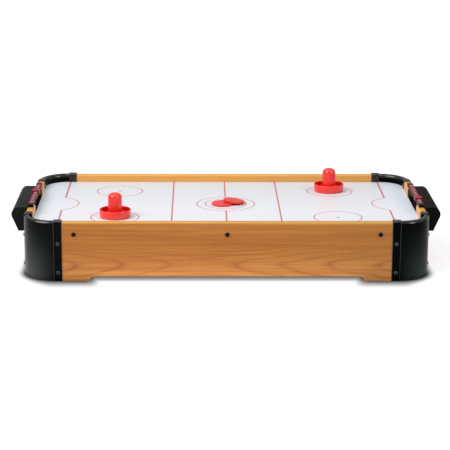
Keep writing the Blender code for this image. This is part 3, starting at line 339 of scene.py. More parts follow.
# Painted shade on the board: darker towards the back rail and towards the right
BOARD_PAINTED_SHADE_BACK = (0.82, 0.86, 0.86)
BOARD_PAINTED_SHADE_RIGHT = (0.95, 0.95, 0.95)
# Painted shade: a cool, soft shade on the board next to the end walls
BOARD_PAINTED_SHADE_ENDS = (0.96, 1.0, 1.05)
LINE_RED = (0.52, 0.055, 0.065)
CENTRE_LINE = 2.6 * MM
QUARTER_LINE = 2.6 * MM
GOAL_LINE = 3.0 * MM
CIRCLE_LINE = 1.9 * MM
CENTRE_RADII = (51.4 * MM, 36.5 * MM)
QUARTER_X = 94.6 * MM
GOAL_LINE_X = 288.7 * MM
CREASE_HALF_WIDTH = 45 * MM
CREASE_RADIUS = 51 * MM
FACE_OFF = (192.9 * MM, 96.9 * MM)
FACE_OFF_RADIUS = 41.5 * MM
FACE_OFF_DOT = 2.8 * MM
LINE_SOFTNESS = 0.12 * MM


def printed_board(name):
    """White satin laminate printed with the rink's lines."""
    recipe = Recipe(name)
    x, y, z = recipe.position()
    far_x = abs(x)
    far_y = abs(y)

    def stroke(distance, width):
        """1 within half a width of a signed distance of 0, with a soft edge."""
        return recipe.spread(abs(distance), width / 2 - LINE_SOFTNESS, width / 2 + LINE_SOFTNESS, 1.0, 0.0)

    def distance(px, py, centre):
        across = px - centre[0]
        down = py - centre[1]
        return recipe.math("SQRT", across * across + down * down)

    def ring(px, py, centre, radius):
        return stroke(distance(px, py, centre) - radius, CIRCLE_LINE)

    crease_x = GOAL_LINE_X + math.sqrt(CREASE_RADIUS**2 - CREASE_HALF_WIDTH**2)
    past_crease = recipe.math("GREATER_THAN", far_y, CREASE_HALF_WIDTH)
    inside_goal_line = recipe.math("LESS_THAN", far_x, GOAL_LINE_X)
    outside_circle = recipe.math("GREATER_THAN", distance(x, y, (0.0, 0.0)), CENTRE_RADII[0])
    dot_edge = (FACE_OFF_DOT - LINE_SOFTNESS, FACE_OFF_DOT + LINE_SOFTNESS)
    masks = [
        outside_circle * stroke(x, CENTRE_LINE),
        stroke(far_x - QUARTER_X, QUARTER_LINE),
        past_crease * stroke(far_x - GOAL_LINE_X, GOAL_LINE),
        inside_goal_line * ring(far_x, y, (crease_x, 0.0), CREASE_RADIUS),
        ring(x, y, (0.0, 0.0), CENTRE_RADII[0]),
        ring(x, y, (0.0, 0.0), CENTRE_RADII[1]),
        ring(far_x, far_y, FACE_OFF, FACE_OFF_RADIUS),
        recipe.spread(distance(far_x, far_y, FACE_OFF), *dot_edge, 1.0, 0.0),
    ]
    printed = masks[0]
    for mask in masks[1:]:
        printed = recipe.math("MAXIMUM", printed, mask)
    on_top = recipe.math("GREATER_THAN", z, FIELD_TOP - 0.1 * MM)
    cover = recipe.spread(recipe.noise(recipe.object_point(), 1500.0, 2.0), 0.3, 0.7, 0.78, 0.96)
    printed = printed * on_top * cover
    cloud = recipe.noise(recipe.object_point(), 9.0, 3.0, 0.55)
    base = recipe.mix(recipe.spread(cloud, 0.3, 0.7), BOARD_WHITE, BOARD_SHADE)
    # Painted shade: darker towards the back and towards the right
    base = recipe.tinted(base, recipe.spread(y, -50 * MM, 180 * MM), BOARD_PAINTED_SHADE_BACK)
    base = recipe.tinted(base, recipe.spread(x, -100 * MM, 250 * MM), BOARD_PAINTED_SHADE_RIGHT)
    # Painted shade along the ends
    base = recipe.tinted(base, recipe.spread(far_x, 280 * MM, 330 * MM), BOARD_PAINTED_SHADE_ENDS)
    orange_peel = recipe.noise(recipe.object_point(), 420.0, 2.0, 0.5)
    recipe.set(
        Base_Color=recipe.mix(printed, base, LINE_RED),
        Roughness=recipe.spread(cloud, 0.3, 0.7, 0.28, 0.36),
        Specular_IOR_Level=0.22,
    )
    recipe.bump(orange_peel, 0.02 * MM, 0.5)
    return recipe.material


# Mesh helpers

def centre_of(node):
    low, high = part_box(node)
    return (low + high) / 2


def placed(name, data):
    """A new object in the scene."""
    obj = bpy.data.objects.new(name, data)
    bpy.context.scene.collection.objects.link(obj)
    return obj


def piece(mesh, materials, node=None, body="table"):
    """A new visible piece, named as its mesh, that rides on a body and stands for a CAD node."""
    obj = placed(mesh.name, mesh)
    mesh.materials.clear()
    for material in materials:
        mesh.materials.append(material)
    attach(obj, body)
    if node:
        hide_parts(node)
    return obj


def mesh_from(bm, name):
    bmesh.ops.recalc_face_normals(bm, faces=bm.faces)
    mesh = bpy.data.meshes.new(name)
    bm.to_mesh(mesh)
    bm.free()
    return mesh


def evaluated(obj, weld):
    """A bmesh of the object as its modifiers or curve make it, with points closer than weld merged."""
    bpy.context.view_layer.update()
    mesh = bpy.data.meshes.new_from_object(obj.evaluated_get(bpy.context.evaluated_depsgraph_get()))
    bm = bmesh.new()
    bm.from_mesh(mesh)
    bpy.data.meshes.remove(mesh)
    bmesh.ops.remove_doubles(bm, verts=bm.verts, dist=weld)
    return bm


def arc(centre, radius, start, end, steps):
    """Points along an arc, from the start angle to the end angle in radians."""
    angles = [start + (end - start) * step / steps for step in range(steps + 1)]
    return [(centre[0] + radius * math.cos(a), centre[1] + radius * math.sin(a)) for a in angles]


def rounded_rectangle(half_x, half_y, radius, steps):
    corners = []
    for quarter, (sx, sy) in enumerate(((1, 1), (-1, 1), (-1, -1), (1, -1))):
        centre = (sx * (half_x - radius), sy * (half_y - radius))
        start = quarter * math.pi / 2
        corners += arc(centre, radius, start, start + math.pi / 2, steps)
    return corners


FLAT = Matrix.Identity(3)
FACING_FRONT = Matrix(((1, 0, 0), (0, 0, -1), (0, 1, 0)))
FACING_END = Matrix(((0, 0, 1), (1, 0, 0), (0, 1, 0)))


def prism(outline, low, high, turn=FLAT):
    """A solid from an outline, between two distances along its normal. turn lays the outline's x and y
    along X and Y (FLAT), X and Z with the normal along -Y (FACING_FRONT), or Y and Z with it along X."""
    bm = bmesh.new()
    bottom = [bm.verts.new(turn @ Vector((x, y, low))) for x, y in outline]
    top = [bm.verts.new(turn @ Vector((x, y, high))) for x, y in outline]
    bm.faces.new(bottom)
    bm.faces.new(top)
    for index in range(len(outline)):
        after = (index + 1) % len(outline)
        bm.faces.new((bottom[index], bottom[after], top[after], top[index]))
    return bm


def block(low, high):
    bm = bmesh.new()
    bmesh.ops.create_cube(bm, size=1.0)
    low, high = Vector(low), Vector(high)
    bmesh.ops.scale(bm, vec=high - low, verts=bm.verts)
    bmesh.ops.translate(bm, vec=(low + high) / 2, verts=bm.verts)
    return bm


def cylinder(centre, axis, radius, length, steps):
    """A round bar along X (0) or Y (1)."""
    bm = bmesh.new()
    bmesh.ops.create_cone(bm, cap_ends=True, segments=steps, radius1=radius, radius2=radius, depth=length)
    turn = Matrix.Rotation(math.pi / 2, 4, "X" if axis == 1 else "Y")
    bmesh.ops.transform(bm, matrix=Matrix.Translation(centre) @ turn, verts=bm.verts)
    return bm


def rounded(bm, width, steps, chosen=None):
    """Rounds the edges that chosen(edge) picks, or all edges that aren't nearly flat."""
    if chosen is None:
        edges = [e for e in bm.edges if len(e.link_faces) == 2 and e.calc_face_angle() > math.radians(40)]
    else:
        edges = [e for e in bm.edges if chosen(e)]
    bmesh.ops.bevel(
        bm, geom=edges, offset=width, segments=steps, profile=0.5, affect="EDGES", clamp_overlap=True
    )
    return bm


def runs_along(edge, axis):
    direction = edge.verts[1].co - edge.verts[0].co
    return abs(direction[axis]) > 0.99 * direction.length


def lies_above(edge, height):
    return min(v.co.z for v in edge.verts) > height


def reaches_above(edge, height):
    return max(v.co.z for v in edge.verts) > height


def turned(profile, steps):
    """A turned solid about Z from (radius, height) points that start and end on the axis."""
    bm = bmesh.new()
    verts = [bm.verts.new((radius, 0.0, height)) for radius, height in profile]
    edges = [bm.edges.new(pair) for pair in zip(verts, verts[1:])]
    bmesh.ops.spin(
        bm, geom=verts + edges, cent=(0, 0, 0), axis=(0, 0, 1), angle=2 * math.pi, steps=steps, use_merge=True
    )
    bmesh.ops.remove_doubles(bm, verts=bm.verts, dist=0.002 * MM)
    return bm


def combined(base, others, operation):
    """The base mesh joined with the other bmeshes (UNION) or cut by them (DIFFERENCE)."""
    holder = placed("base", mesh_from(base, "base"))
    helpers = [holder]
    for other in others:
        helper = placed("helper", mesh_from(other, "helper"))
        helpers.append(helper)
        modifier = holder.modifiers.new("boolean", "BOOLEAN")
        modifier.operation = operation
        modifier.object = helper
    bm = evaluated(holder, 0.004 * MM)
    for helper in helpers:
        bpy.data.objects.remove(helper, do_unlink=True)
    return bm


def smooth(obj, angle=35.0, weighted=True):
    """Smooth shading broken at edges sharper than the angle, with broad faces kept flat."""
    obj.data.shade_smooth()
    obj.data.set_sharp_from_angle(angle=math.radians(angle))
    if weighted:
        modifier = obj.modifiers.new("even", "WEIGHTED_NORMAL")
        modifier.keep_sharp = True
        modifier.weight = 60
    return obj


def copy_of(mesh, matrix, name):
    made = mesh.copy()
    made.name = name
    made.transform(matrix)
    if matrix.determinant() < 0:
        made.flip_normals()
    return made


# Wooden panels

PANEL_ROUND = 3.2 * MM
ARCH_HALF_LENGTH = 232 * MM
ARCH_RISE = 8 * MM
ARCH_STEPS = 10
GOAL_HALF_WIDTH = 61 * MM
GOAL_SILL = FIELD_TOP - 1 * MM
BOLT_HOLE_RADIUS = 2.3 * MM
SCREW_HOLE_RADIUS = 1.8 * MM
PANEL_HOLE_REACH = 60 * MM
SWITCH_HOLE_INSET = Vector((1.7 * MM, -4 * MM, 1.5 * MM))


def nodes_called(prefix):
    return [name for name in sorted(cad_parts) if name.startswith(prefix)]


def hole_cutters(prefix, axis, keep, radius, reach):
    """Round cutters along an axis where fasteners with this name prefix pass, if keep(centre)."""
    centres = [centre_of(name) for name in nodes_called(prefix)]
    return [cylinder(centre, axis, radius, reach, 20) for centre in centres if keep(centre)]


def side_outline():
    """The side panel's face: straight top and ends, and an arch between two feet."""
    end = PANEL_HIGH.x
    radius = ARCH_RISE * 0.95
    inner = arc((ARCH_HALF_LENGTH - radius, ARCH_RISE - radius), radius, math.pi / 2, 0.0, ARCH_STEPS)
    right_foot = [*inner, (ARCH_HALF_LENGTH, 0.0), (end, 0.0), (end, RIM_HEIGHT)]
    return right_foot + [(-x, z) for x, z in reversed(right_foot)]


def round_top(bm, axis):
    """Rounds a panel's long top edges."""
    on_top = lambda edge: lies_above(edge, RIM_HEIGHT - PANEL_ROUND / 2)
    rounded(bm, PANEL_ROUND, 6, lambda edge: on_top(edge) and runs_along(edge, axis))


def make_side_panels():
    for side, name in SIDES:
        near, far = sorted((side * HALF_WIDTH, side * (HALF_WIDTH - PANEL_THICKNESS)))
        bm = prism(side_outline(), -far, -near, FACING_FRONT)
        round_top(bm, 0)
        keep = lambda centre: centre.y * side > 0
        cutters = hole_cutters("side_bolt", 1, keep, BOLT_HOLE_RADIUS, PANEL_HOLE_REACH)
        cutters += hole_cutters("side_screw", 1, keep, SCREW_HOLE_RADIUS, PANEL_HOLE_REACH)
        if side > 0:
            low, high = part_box("switch_housing")
            cutters.append(block(low + SWITCH_HOLE_INSET, high - SWITCH_HOLE_INSET))
        bm = combined(bm, cutters, "DIFFERENCE")
        mesh = mesh_from(bm, "wood_" + name)
        smooth(piece(mesh, [wood_foil(name, 0, side, HALF_WIDTH)], "side_panel_" + name))


def make_end_panels():
    low, high = END_LOW, END_HIGH
    for side, name in ENDS:
        outline = [
            (low.y, 0.0),
            (high.y, 0.0),
            (high.y, RIM_HEIGHT),
            (GOAL_HALF_WIDTH, RIM_HEIGHT),
            (GOAL_HALF_WIDTH, GOAL_SILL),
            (-GOAL_HALF_WIDTH, GOAL_SILL),
            (-GOAL_HALF_WIDTH, RIM_HEIGHT),
            (low.y, RIM_HEIGHT),
        ]
        near, far = sorted((side * low.x, side * high.x))
        bm = prism(outline, near, far, FACING_END)
        round_top(bm, 1)
        keep = lambda centre: centre.x * side > 0
        cutters = hole_cutters("end_screw", 0, keep, SCREW_HOLE_RADIUS, PANEL_HOLE_REACH)
        bm = combined(bm, cutters, "DIFFERENCE")
        mesh = mesh_from(bm, "wood_" + name)
        materials = [wood_foil(name, 1, side, HALF_LENGTH), CUT_EDGE, BLACK_PLASTIC]
        obj = piece(mesh, materials, "end_panel_" + name)
        for face in mesh.polygons:
            _, y, z = face.center
            in_notch = abs(y) < GOAL_HALF_WIDTH + 0.1 * MM and z > GOAL_SILL - 0.1 * MM
            if in_notch and abs(face.normal.x) < 0.5:
                face.material_index = 2 if face.normal.z > 0.5 else 1
        smooth(obj)


def cut_board(name):
    """The bare cut edge of brown fibreboard."""
    recipe = Recipe(name)
    point = recipe.object_point()
    chips = recipe.noise(point, 1400.0, 3.0, 0.7)
    layers = recipe.noise(point, 260.0, 2.0)
    base = recipe.mix(recipe.spread(chips, 0.3, 0.7), (0.150, 0.088, 0.034), (0.085, 0.048, 0.018))
    base = recipe.mix(recipe.spread(layers, 0.4, 0.7, 0.0, 0.4), base, (0.21, 0.13, 0.055))
    recipe.set(Base_Color=base, Roughness=0.85, Specular_IOR_Level=0.2)
    recipe.bump(chips, 0.12 * MM)
    return recipe.material


# Moulded corners

CORNER_CENTRE = (291.5 * MM, 130.5 * MM)
CORNER_OUTER = 54.3 * MM
CORNER_INNER = 42 * MM
CORNER_SHELL = 2.5 * MM
CORNER_ROLL_TOP = 103.8 * MM
COLLAR_WIDTH = 14.5 * MM
COLLAR_PROUD = 1.5 * MM
COLLAR_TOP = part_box("corner_back_right")[1].z
COLLAR_ROUND = 4.5 * MM
COLLAR_EASE = 1.2 * MM
COLLAR_END = (CORNER_CENTRE[0] + 1 * MM, CORNER_CENTRE[1] + 1 * MM)
LIP_REACH = 1 * MM
CORNER_HOLE_REACH = 12 * MM
# Each leg's outer face, its panel's end and the board's edge: along X, then along Y
OUTER_FACE = (HALF_WIDTH, HALF_LENGTH)
PANEL_END = (PANEL_HIGH.x, END_HIGH.y)
BOARD_SIDE = (BOARD_HIGH.y, BOARD_HIGH.x)
BOARD_GAP = (FIT_GAP, 2 * FIT_GAP)
CREST_START = 99 * MM
GROOVE_HEIGHT = 88 * MM
GROOVE_DEPTH = 0.25 * MM
GROOVE_HALF = 0.35 * MM
# How far proud of the leg's outer face the collars' painted edge highlight starts
EDGE_HIGHLIGHT_START = 0.4 * MM


def corner_section():
    """The curved wall's section: two legs that meet in a half-round top, with a fine parting groove."""
    half = (CORNER_OUTER - CORNER_INNER) / 2
    middle = CORNER_INNER + half
    shoulder = CORNER_ROLL_TOP - half
    hollow_top = shoulder + 0.4 * half
    return [
        (CORNER_OUTER - 0.5 * MM, 0.0),
        (CORNER_OUTER, 0.5 * MM),
        (CORNER_OUTER, GROOVE_HEIGHT - GROOVE_HALF),
        (CORNER_OUTER - GROOVE_DEPTH, GROOVE_HEIGHT),
        (CORNER_OUTER, GROOVE_HEIGHT + GROOVE_HALF),
        *arc((middle, shoulder), half, 0.0, math.pi, 20),
        (CORNER_INNER, 0.0),
        (CORNER_INNER + CORNER_SHELL, 0.0),
        (CORNER_INNER + CORNER_SHELL, hollow_top),
        (CORNER_OUTER - CORNER_SHELL, hollow_top),
        (CORNER_OUTER - CORNER_SHELL, 0.0),
    ]


def curved_wall():
    bm = bmesh.new()
    verts = [bm.verts.new((radius, 0.0, height)) for radius, height in corner_section()]
    face = bm.faces.new(verts)
    bmesh.ops.spin(
        bm, geom=[face, *face.edges, *verts], cent=(0, 0, 0), axis=(0, 0, 1), angle=math.pi / 2, steps=36
    )
    bmesh.ops.translate(bm, vec=(*CORNER_CENTRE, 0.0), verts=bm.verts)
    bmesh.ops.recalc_face_normals(bm, faces=bm.faces)
    return bm


def leg_block(axis, low, high):
    """A block between (along, across, up) points of the leg that runs along X (0) or Y (1)."""
    if axis == 1:
        low, high = ((across, along, up) for along, across, up in (low, high))
    return block(low, high)


def collar(axis):
    """A collar's outer block: big rounds along its two top edges and eased edges elsewhere."""
    start, end = COLLAR_END[axis] - COLLAR_WIDTH, COLLAR_END[axis]
    inner = OUTER_FACE[axis] - PANEL_THICKNESS - COLLAR_PROUD
    outer = OUTER_FACE[axis] + COLLAR_PROUD
    bm = leg_block(axis, (start, inner, 0.0), (end, outer, COLLAR_TOP))
    on_top = lambda edge: lies_above(edge, COLLAR_TOP - 0.1 * MM)
    rounded(bm, COLLAR_ROUND, 10, lambda edge: on_top(edge) and runs_along(edge, axis))
    on_start = lambda edge: max(v.co[axis] for v in edge.verts) < start + 0.01 * MM
    on_end = lambda edge: min(v.co[axis] for v in edge.verts) > end - 0.01 * MM
    eased = lambda edge: (on_start(edge) or on_end(edge)) and reaches_above(edge, 0.1 * MM)
    rounded(bm, COLLAR_EASE, 5, eased)
    return bm


def panel_slot(axis):
    """The room for the panel that a leg holds."""
    inner = OUTER_FACE[axis] - PANEL_THICKNESS - FIT_GAP
    bm = leg_block(
        axis,
        (COLLAR_END[axis] - 2 * COLLAR_WIDTH, inner, -PANEL_THICKNESS),
        (PANEL_END[axis] + FIT_GAP, OUTER_FACE[axis] + FIT_GAP, RIM_HEIGHT + FIT_GAP),
    )
    rounded(bm, PANEL_ROUND, 4, lambda edge: lies_above(edge, RIM_HEIGHT) and runs_along(edge, axis))
    return bm


def under_lip(axis):
    """The room for the board under a leg's inner lip."""
    return leg_block(
        axis,
        (COLLAR_END[axis] - 2 * COLLAR_WIDTH, BOARD_SIDE[axis] - PANEL_THICKNESS, -PANEL_THICKNESS),
        (COLLAR_END[axis] + LIP_REACH, BOARD_SIDE[axis] + BOARD_GAP[axis], FIELD_TOP + FIT_GAP),
    )


def corner_finish(face):
    """0 for the plain wall, 1 for its crest and inner faces, 2 for the painted highlight on the collars'
    vertical edges.
    """
    x, y, z = abs(face.center.x), abs(face.center.y), face.center.z
    turned_up = face.normal.z
    towards_middle = max(-face.normal.x * face.center.x / x, -face.normal.y * face.center.y / y)
    if (z > CREST_START and turned_up > 0.25) or (z > FIELD_TOP and towards_middle > 0.3):
        return 1
    for axis, (along, across) in enumerate(((x, y), (y, x))):
        edges = (COLLAR_END[axis] - COLLAR_WIDTH, COLLAR_END[axis])
        near_edge = min(abs(along - edge) for edge in edges) < COLLAR_EASE
        if near_edge and across > OUTER_FACE[axis] + EDGE_HIGHLIGHT_START and abs(face.normal[axis]) > 0.2:
            return 2
    return 0


def make_corners():
    bm = combined(curved_wall(), [collar(0), collar(1)], "UNION")
    in_corner = lambda centre: centre.x > 0 and centre.y > 0
    holes = hole_cutters("side_screw", 1, in_corner, SCREW_HOLE_RADIUS, CORNER_HOLE_REACH)
    holes += hole_cutters("end_screw", 0, in_corner, SCREW_HOLE_RADIUS, CORNER_HOLE_REACH)
    rooms = [panel_slot(0), panel_slot(1), under_lip(0), under_lip(1)]
    mesh = mesh_from(combined(bm, [*rooms, *holes], "DIFFERENCE"), "corner_moulding")
    for sx, end in ENDS:
        for sy, side in SIDES:
            name = side + "_" + end
            made = copy_of(mesh, Matrix.Diagonal((sx, sy, 1, 1)), "moulding_" + name)
            materials = [CORNER_PLASTIC[end], CREST_PLASTIC, EDGE_HIGHLIGHT_PLASTIC]
            obj = piece(made, materials, "corner_" + name)
            for face in made.polygons:
                face.material_index = corner_finish(face)
            smooth(obj, 28.0)


# Board

HOLE_PITCH = 25 * MM
HOLE_COLUMNS = 26
HOLE_ROWS = 13
HOLE_RADIUS = 0.5 * MM
BOARD_CORNER = 41.2 * MM


def board_holes():
    columns = [(index - (HOLE_COLUMNS - 1) / 2) * HOLE_PITCH for index in range(HOLE_COLUMNS)]
    rows = [(index - (HOLE_ROWS - 1) / 2) * HOLE_PITCH for index in range(HOLE_ROWS)]
    return [(x, y) for x in columns for y in rows]


def make_board():
    """The board with its grid of air holes, as one filled outline with round holes in it."""
    curve = bpy.data.curves.new("board", "CURVE")
    curve.dimensions = "2D"
    curve.fill_mode = "BOTH"
    curve.extrude = (BOARD_HIGH.z - BOARD_LOW.z) / 2
    outlines = [rounded_rectangle(BOARD_HIGH.x, BOARD_HIGH.y, BOARD_CORNER, 24)]
    outlines += [arc(centre, HOLE_RADIUS, 0.0, 2 * math.pi, 8)[:-1] for centre in board_holes()]
    for outline in outlines:
        spline = curve.splines.new("POLY")
        spline.points.add(len(outline) - 1)
        for point, (x, y) in zip(spline.points, outline):
            point.co = (x, y, 0.0, 1.0)
        spline.use_cyclic_u = True
    holder = placed("board", curve)
    bm = evaluated(holder, 0.002 * MM)
    bpy.data.objects.remove(holder, do_unlink=True)
    bmesh.ops.translate(bm, vec=(0, 0, (BOARD_HIGH.z + BOARD_LOW.z) / 2), verts=bm.verts)
    mesh = mesh_from(bm, "play_board")
    smooth(piece(mesh, [BOARD_PRINT], "playing_field"), weighted=False)


# Fasteners

def fastener(head_radius, head_height, shank_radius, length, recess, cupped):
    """A screw along +Z, its head's underside at height 0, with a cross recess in a dome or in a cup."""
    ease = 0.25 * head_height
    crown = [
        (0.0, head_height),
        *[
            (0.72 * head_radius * math.sin(a), head_height * (0.86 + 0.14 * math.cos(a)))
            for a in (0.5, 1.0, 1.4)
        ],
    ]
    cup = [
        (0.0, 0.30 * head_height),
        (0.40 * head_radius, 0.34 * head_height),
        (0.52 * head_radius, 0.90 * head_height),
        (0.60 * head_radius, 0.98 * head_height),
        (0.70 * head_radius, 0.95 * head_height),
    ]
    profile = [
        *(cup if cupped else crown),
        *arc((head_radius - 0.42 * head_height, 0.45 * head_height), 0.42 * head_height, 1.15, 0.0, 6),
        (head_radius, ease),
        (head_radius - 0.1 * MM, 0.0),
        (shank_radius, 0.0),
        (shank_radius, 0.6 * MM - length),
        (0.5 * shank_radius, -length),
        (0.0, -length),
    ]
    bars = []
    for turn in (0.0, math.pi / 2):
        bar = block(
            (-recess, -0.2 * recess, (0.2 if cupped else 0.42) * head_height),
            (recess, 0.2 * recess, 1.5 * head_height),
        )
        bmesh.ops.rotate(bar, cent=(0, 0, 0), matrix=Matrix.Rotation(turn + 0.3, 3, "Z"), verts=bar.verts)
        bars.append(bar)
    return mesh_from(combined(turned(profile, 36), bars, "DIFFERENCE"), "fastener")


def make_fasteners():
    bolt = (3.7 * MM, 2.2 * MM, 2 * MM, 20 * MM, 1.3 * MM, False)
    screw = (3.1 * MM, 1.9 * MM, 1.5 * MM, 9 * MM, 1.5 * MM, True)
    kinds = (
        ("side_bolt", "bolt", bolt),
        ("side_screw", "side_cross_screw", screw),
        ("end_screw", "end_cross_screw", screw),
    )
    for prefix, label, sizes in kinds:
        head_radius, head_height, *_, cupped = sizes
        mesh = fastener(*sizes)
        # Painted shade: the inside of a cupped steel head is given black plastic
        cup_painted_shade = [
            index
            for index, face in enumerate(mesh.polygons)
            if cupped and face.center.xy.length < 0.5 * head_radius
        ]
        axis = 0 if prefix == "end_screw" else 1
        for number, node in enumerate(nodes_called(prefix)):
            low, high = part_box(node)
            centre = centre_of(node)
            outward = Vector((0, 0, 0))
            outward[axis] = 1 if centre[axis] > 0 else -1
            tip = high if outward[axis] > 0 else low
            seat = centre.copy()
            seat[axis] = tip[axis] - outward[axis] * head_height
            turn = outward.to_track_quat("Z", "X").to_matrix() @ Matrix.Rotation(1.1 * number, 3, "Z")
            matrix = Matrix.Translation(seat) @ turn.to_4x4()
            made = copy_of(mesh, matrix, node.replace(prefix, label))
            materials = [FASTENER_STEEL if cupped else BOLT_BLACK, BLACK_PLASTIC]
            smooth(piece(made, materials, node), 32.0)
            for index in cup_painted_shade:
                made.polygons[index].material_index = 1


# Goals and score markers

GOAL_ROUND = 12.7 * MM
GOAL_ROUND_START = math.radians(-20)
GOAL_FLOOR_DEPTH = 16.7 * MM
GOAL_WALL = 2.5 * MM
GOAL_EDGE_ROUND = 1.4 * MM


def goal_outline(inset, depth, bottom):
    """The box's section as (distance out from the end panel, height), drawn in by an inset."""
    centre = (depth - GOAL_ROUND, RIM_HEIGHT - GOAL_ROUND)
    opening = FIT_GAP if inset == 0 else -PANEL_THICKNESS
    return [
        (opening, bottom + inset),
        (GOAL_FLOOR_DEPTH - inset, bottom + inset),
        *arc(centre, GOAL_ROUND - inset, GOAL_ROUND_START, math.pi / 2, 20),
        (opening, RIM_HEIGHT - inset),
    ]


def make_goal_boxes():
    for side, name in ENDS:
        low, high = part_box("goal_box_" + name)
        depth = max(abs(low.x), abs(high.x)) - HALF_LENGTH
        solids = []
        for inset in (0.0, GOAL_WALL):
            outline = [(side * (HALF_LENGTH + x), z) for x, z in goal_outline(inset, depth, low.z)]
            solids.append(prism(outline, low.y + inset, high.y - inset, FACING_FRONT))
        flat = lambda edge: abs(edge.verts[0].co.y - edge.verts[1].co.y) < 0.01 * MM
        beyond = lambda edge: max(abs(v.co.x) for v in edge.verts) > HALF_LENGTH + 1 * MM
        rounded(solids[0], GOAL_EDGE_ROUND, 5, lambda edge: flat(edge) and beyond(edge))
        mesh = mesh_from(combined(solids[0], solids[1:], "DIFFERENCE"), "goal_pocket_" + name)
        smooth(piece(mesh, [POCKET_PLASTIC[name]], "goal_box_" + name), 32.0)


BAR_EASE = 0.3 * MM
BAR_END_EASE = 0.8 * MM
STRIP_EASE = 0.5 * MM
DIGIT_COUNT = 10
DIGIT_SIZE = 7.2 * MM
DIGIT_HEIGHT = 0.12 * MM


def make_digits(side, name, top, middle, half_length):
    """The marker scale's digits, 0 to 9, readable from that end of the table."""
    pitch = 2 * half_length / DIGIT_COUNT
    for number in range(DIGIT_COUNT):
        text = bpy.data.curves.new("digit", "FONT")
        text.body = str(number)
        text.size = DIGIT_SIZE
        text.align_x = "CENTER"
        text.align_y = "CENTER"
        text.extrude = DIGIT_HEIGHT / 2
        text.offset = 0.12 * MM
        text.resolution_u = 4
        holder = placed("digit", text)
        bm = evaluated(holder, 0.005 * MM)
        bpy.data.objects.remove(holder, do_unlink=True)
        bmesh.ops.scale(bm, vec=(1.25, 0.92, 1.0), verts=bm.verts)
        along = -side * (number - (DIGIT_COUNT - 1) / 2) * pitch
        place = Matrix.Translation((middle, along, top + DIGIT_HEIGHT / 2))
        turn = Matrix.Rotation(side * math.pi / 2, 4, "Z")
        bmesh.ops.transform(bm, matrix=place @ turn, verts=bm.verts)
        piece(mesh_from(bm, "digit_" + name + "_" + str(number)), [DIGIT_INK])


def make_score_markers():
    for side, name in ENDS:
        low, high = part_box("score_frame_" + name)
        strip_low, strip_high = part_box("score_strip_" + name)
        bar = block(low, (high.x, high.y, strip_low.z - FIT_GAP))
        rounded(bar, BAR_EASE, 2)
        ends = []
        for sign in (-1, 1):
            near, far = sorted((sign * (strip_high.y + 0.4 * MM), sign * high.y))
            end = block((low.x, near, low.z), (high.x, far, high.z))
            rounded(end, BAR_END_EASE, 4, lambda edge: reaches_above(edge, low.z + 0.1 * MM))
            ends.append(end)
        mesh = mesh_from(combined(bar, ends, "UNION"), "score_bar_" + name)
        smooth(piece(mesh, [BLACK_PLASTIC], "score_frame_" + name), 32.0)

        strip = block(strip_low, strip_high)
        rounded(strip, STRIP_EASE, 4, lambda edge: lies_above(edge, strip_high.z - 0.1 * MM))
        mesh = mesh_from(strip, "score_scale_" + name)
        smooth(piece(mesh, [SCALE_PLASTIC], "score_strip_" + name))
        make_digits(side, name, strip_high.z, (strip_low.x + strip_high.x) / 2, strip_high.y)
        make_slider(name, strip_high.z + DIGIT_HEIGHT + SADDLE_GAP)


SADDLE_WALL = 1 * MM
SADDLE_GAP = 0.18 * MM
SADDLE_ROUND = 1.2 * MM
SADDLE_EASE = 0.25 * MM
DIP_RADIUS = 5 * MM
DIP_OFFSET = 3.7 * MM
DIP_RISE = 4.1 * MM
DIP_LENGTH = 40 * MM


def make_slider(name, ceiling):
    """A saddle that straddles the scale, with a raised grip rib across its middle."""
    low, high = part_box("score_slider_" + name)
    middle_x = (low.x + high.x) / 2
    middle_y = (low.y + high.y) / 2
    outside = (high.x - low.x) / 2
    inside = outside - SADDLE_WALL
    shoulder = (outside - SADDLE_ROUND, high.z - SADDLE_ROUND)
    half = [
        (inside, ceiling),
        (inside, low.z),
        (outside, low.z),
        *arc(shoulder, SADDLE_ROUND, 0.0, math.pi / 2, 6),
    ]
    outline = [(middle_x + x, z) for x, z in half] + [(middle_x - x, z) for x, z in reversed(half)]
    bm = prism(outline, -high.y, -low.y, FACING_FRONT)
    centres = [(middle_x, middle_y + side * DIP_OFFSET, high.z + DIP_RISE) for side in (-1, 1)]
    dips = [cylinder(centre, 0, DIP_RADIUS, DIP_LENGTH, 40) for centre in centres]
    mesh = mesh_from(combined(bm, dips, "DIFFERENCE"), "score_marker_" + name)
    body = name + "_score_marker"
    obj = piece(mesh, [MARKER_PLASTIC], "score_slider_" + name, body)
    modifier = obj.modifiers.new("ease", "BEVEL")
    modifier.width = SADDLE_EASE
    modifier.segments = 2
    modifier.limit_method = "ANGLE"
    modifier.angle_limit = math.radians(40)
    smooth(obj)


# Strikers and pucks

STRIKER_STEPS = 96
KNOB_RADIUS = 11.9 * MM
KNOB_DOME = 8.5 * MM
KNOB_DRAFT = 0.3 * MM
STRIKER_WALL = 2 * MM
RIM_HEIGHT_ABOVE_BASE = 13.6 * MM
RIM_WIDTH = 2.3 * MM
DISH_FLOOR = 4 * MM
DISH_FILLET = 2.2 * MM
STRIKER_DRAFT = 0.9 * MM
FOOT_WIDTH = 1.7 * MM
FOOT_ROUND = 1.6 * MM


def dome(radius, top, height, steps):
    """A superellipse quarter from the axis at the top down to its full radius."""
    points = []
    for step in range(steps + 1):
        angle = math.pi / 2 * (1 - step / steps)
        points.append((radius * math.cos(angle) ** 0.92, top - height + height * math.sin(angle) ** 0.92))
    return points


